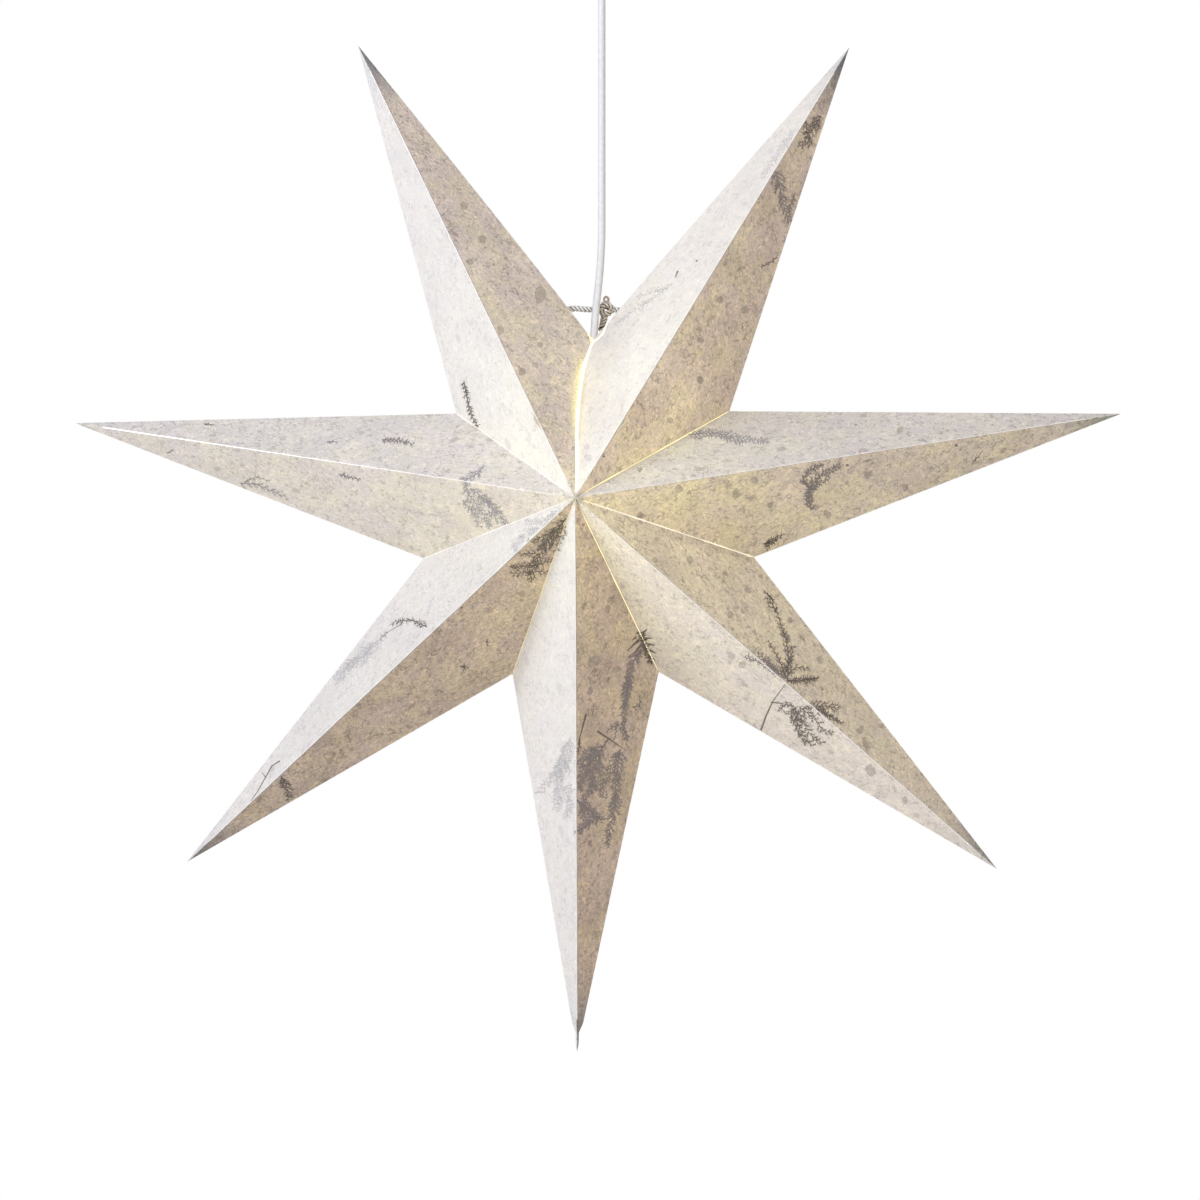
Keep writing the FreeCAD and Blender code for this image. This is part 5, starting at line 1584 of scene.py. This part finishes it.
# The knot is the same twine, in darker olive and pinkish grey: painted shade, with the warm lamp
# light through the paper painted in
shaded_knot_twine = twine_finish("shaded_knot_twine", (0.56, 0.53, 0.43), (0.66, 0.58, 0.54), (0.04, 0.03, 0.03))
dress(moulded("twine_fibre", (0.60, 0.57, 0.54), (0.42, 0.39, 0.36), 0.9, 1500, 0.5), "stop_knots")
low_end, high_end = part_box("tie_twine")
LEFT_END = Vector((low_end[0] + END_INSET, TWINE_DEPTH, high_end[2] - TWINE_MIDDLE))
RIGHT_END = Vector((high_end[0] - END_INSET, TWINE_DEPTH, low_end[2] + TWINE_MIDDLE))

draw = random.Random(5)
mesh = bmesh.new()
run = twisted(mesh, [LEFT_END] + [at_depth(*stop) for stop in LEFT_RUN])
run += twisted(mesh, [at_depth(*stop) for stop in RIGHT_RUN] + [RIGHT_END])
fuzz(mesh, run, 70, draw)
twine = new_piece("twisted_twine", mesh, grey_twine, "star")
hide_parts("tie_twine")

mesh = bmesh.new()
run = []
for thin, loose_end, route in KNOT_RUNS:
    run += twisted(mesh, [at_depth(*stop) for stop in route], thin, loose_end)
fuzz(mesh, run, 130, draw)
knot = new_piece("twine_knot", mesh, shaded_knot_twine, "star")
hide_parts("tie_knot")

# Floor, backdrop and lights
# A pale floor lies far below, and the camera sees plain white behind the star. Two large
# lamps on the left and a warmer one in front light it, with soft light all round and the
# bulb's own weak light inside.

FLOOR_Z = -1.35
FLOOR_RADIUS = 1.6
GLOW_PLACE = (0.008, -0.005, -0.405)
bpy.ops.mesh.primitive_circle_add(vertices=96, radius=FLOOR_RADIUS, fill_type="NGON")
floor = bpy.context.object
floor.name = "floor"
floor.location = (0.0, 0.0, FLOOR_Z)
floor.data.materials.append(
    moulded("pale_floor", (0.86, 0.86, 0.85), (0.84, 0.84, 0.83), 0.7, 40, 0.1)
)

world = bpy.data.worlds.new("studio")
bpy.context.scene.world = world
world.use_nodes = True
sky = world.node_tree
sky.nodes.clear()
ray = node(sky, "LightPath").outputs
seen = maths(sky, "MAXIMUM", ray["Is Camera Ray"], ray["Is Glossy Ray"])
seen = maths(sky, "MAXIMUM", seen, ray["Is Transmission Ray"])
soft_light = node(sky, "Background", {"Color": (1.0, 0.97, 0.91, 1.0), "Strength": 0.37})
backdrop = node(sky, "Background", {"Color": (1.0, 1.0, 1.0, 1.0), "Strength": 1.0})
either = node(sky, "MixShader", {"Fac": seen, 1: soft_light.outputs[0], 2: backdrop.outputs[0]})
node(sky, "OutputWorld", {"Surface": either.outputs[0]})


def area_lamp(name, place, target, side, power, colour):
    lamp = bpy.data.lights.new(name, "AREA")
    lamp.shape = "SQUARE"
    lamp.size = side
    lamp.energy = power
    lamp.color = colour
    light = bpy.data.objects.new(name, lamp)
    light.location = place
    light.rotation_euler = (Vector(target) - Vector(place)).to_track_quat("-Z", "Y").to_euler()
    bpy.context.collection.objects.link(light)


area_lamp("left_light", (-1.9, -1.2, -0.2), STAR_CENTRE, 1.2, 23.3, (0.82, 0.87, 1.0))
area_lamp("upper_light", (-1.1, -1.6, 0.35), STAR_CENTRE, 0.8, 19.4, (0.82, 0.86, 1.0))
area_lamp("front_light", (0.9, -2.4, 0.0), STAR_CENTRE, 1.5, 30.5, (1.0, 0.96, 0.88))

glow = bpy.data.lights.new("bulb_light", "POINT")
glow.energy = 0.32
glow.color = (0.88, 1.0, 0.62)
glow.shadow_soft_size = 0.02
inside = bpy.data.objects.new("bulb_light", glow)
inside.location = GLOW_PLACE
bpy.context.collection.objects.link(inside)
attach(inside, "pendant")

bpy.context.scene.view_settings.view_transform = "Standard"
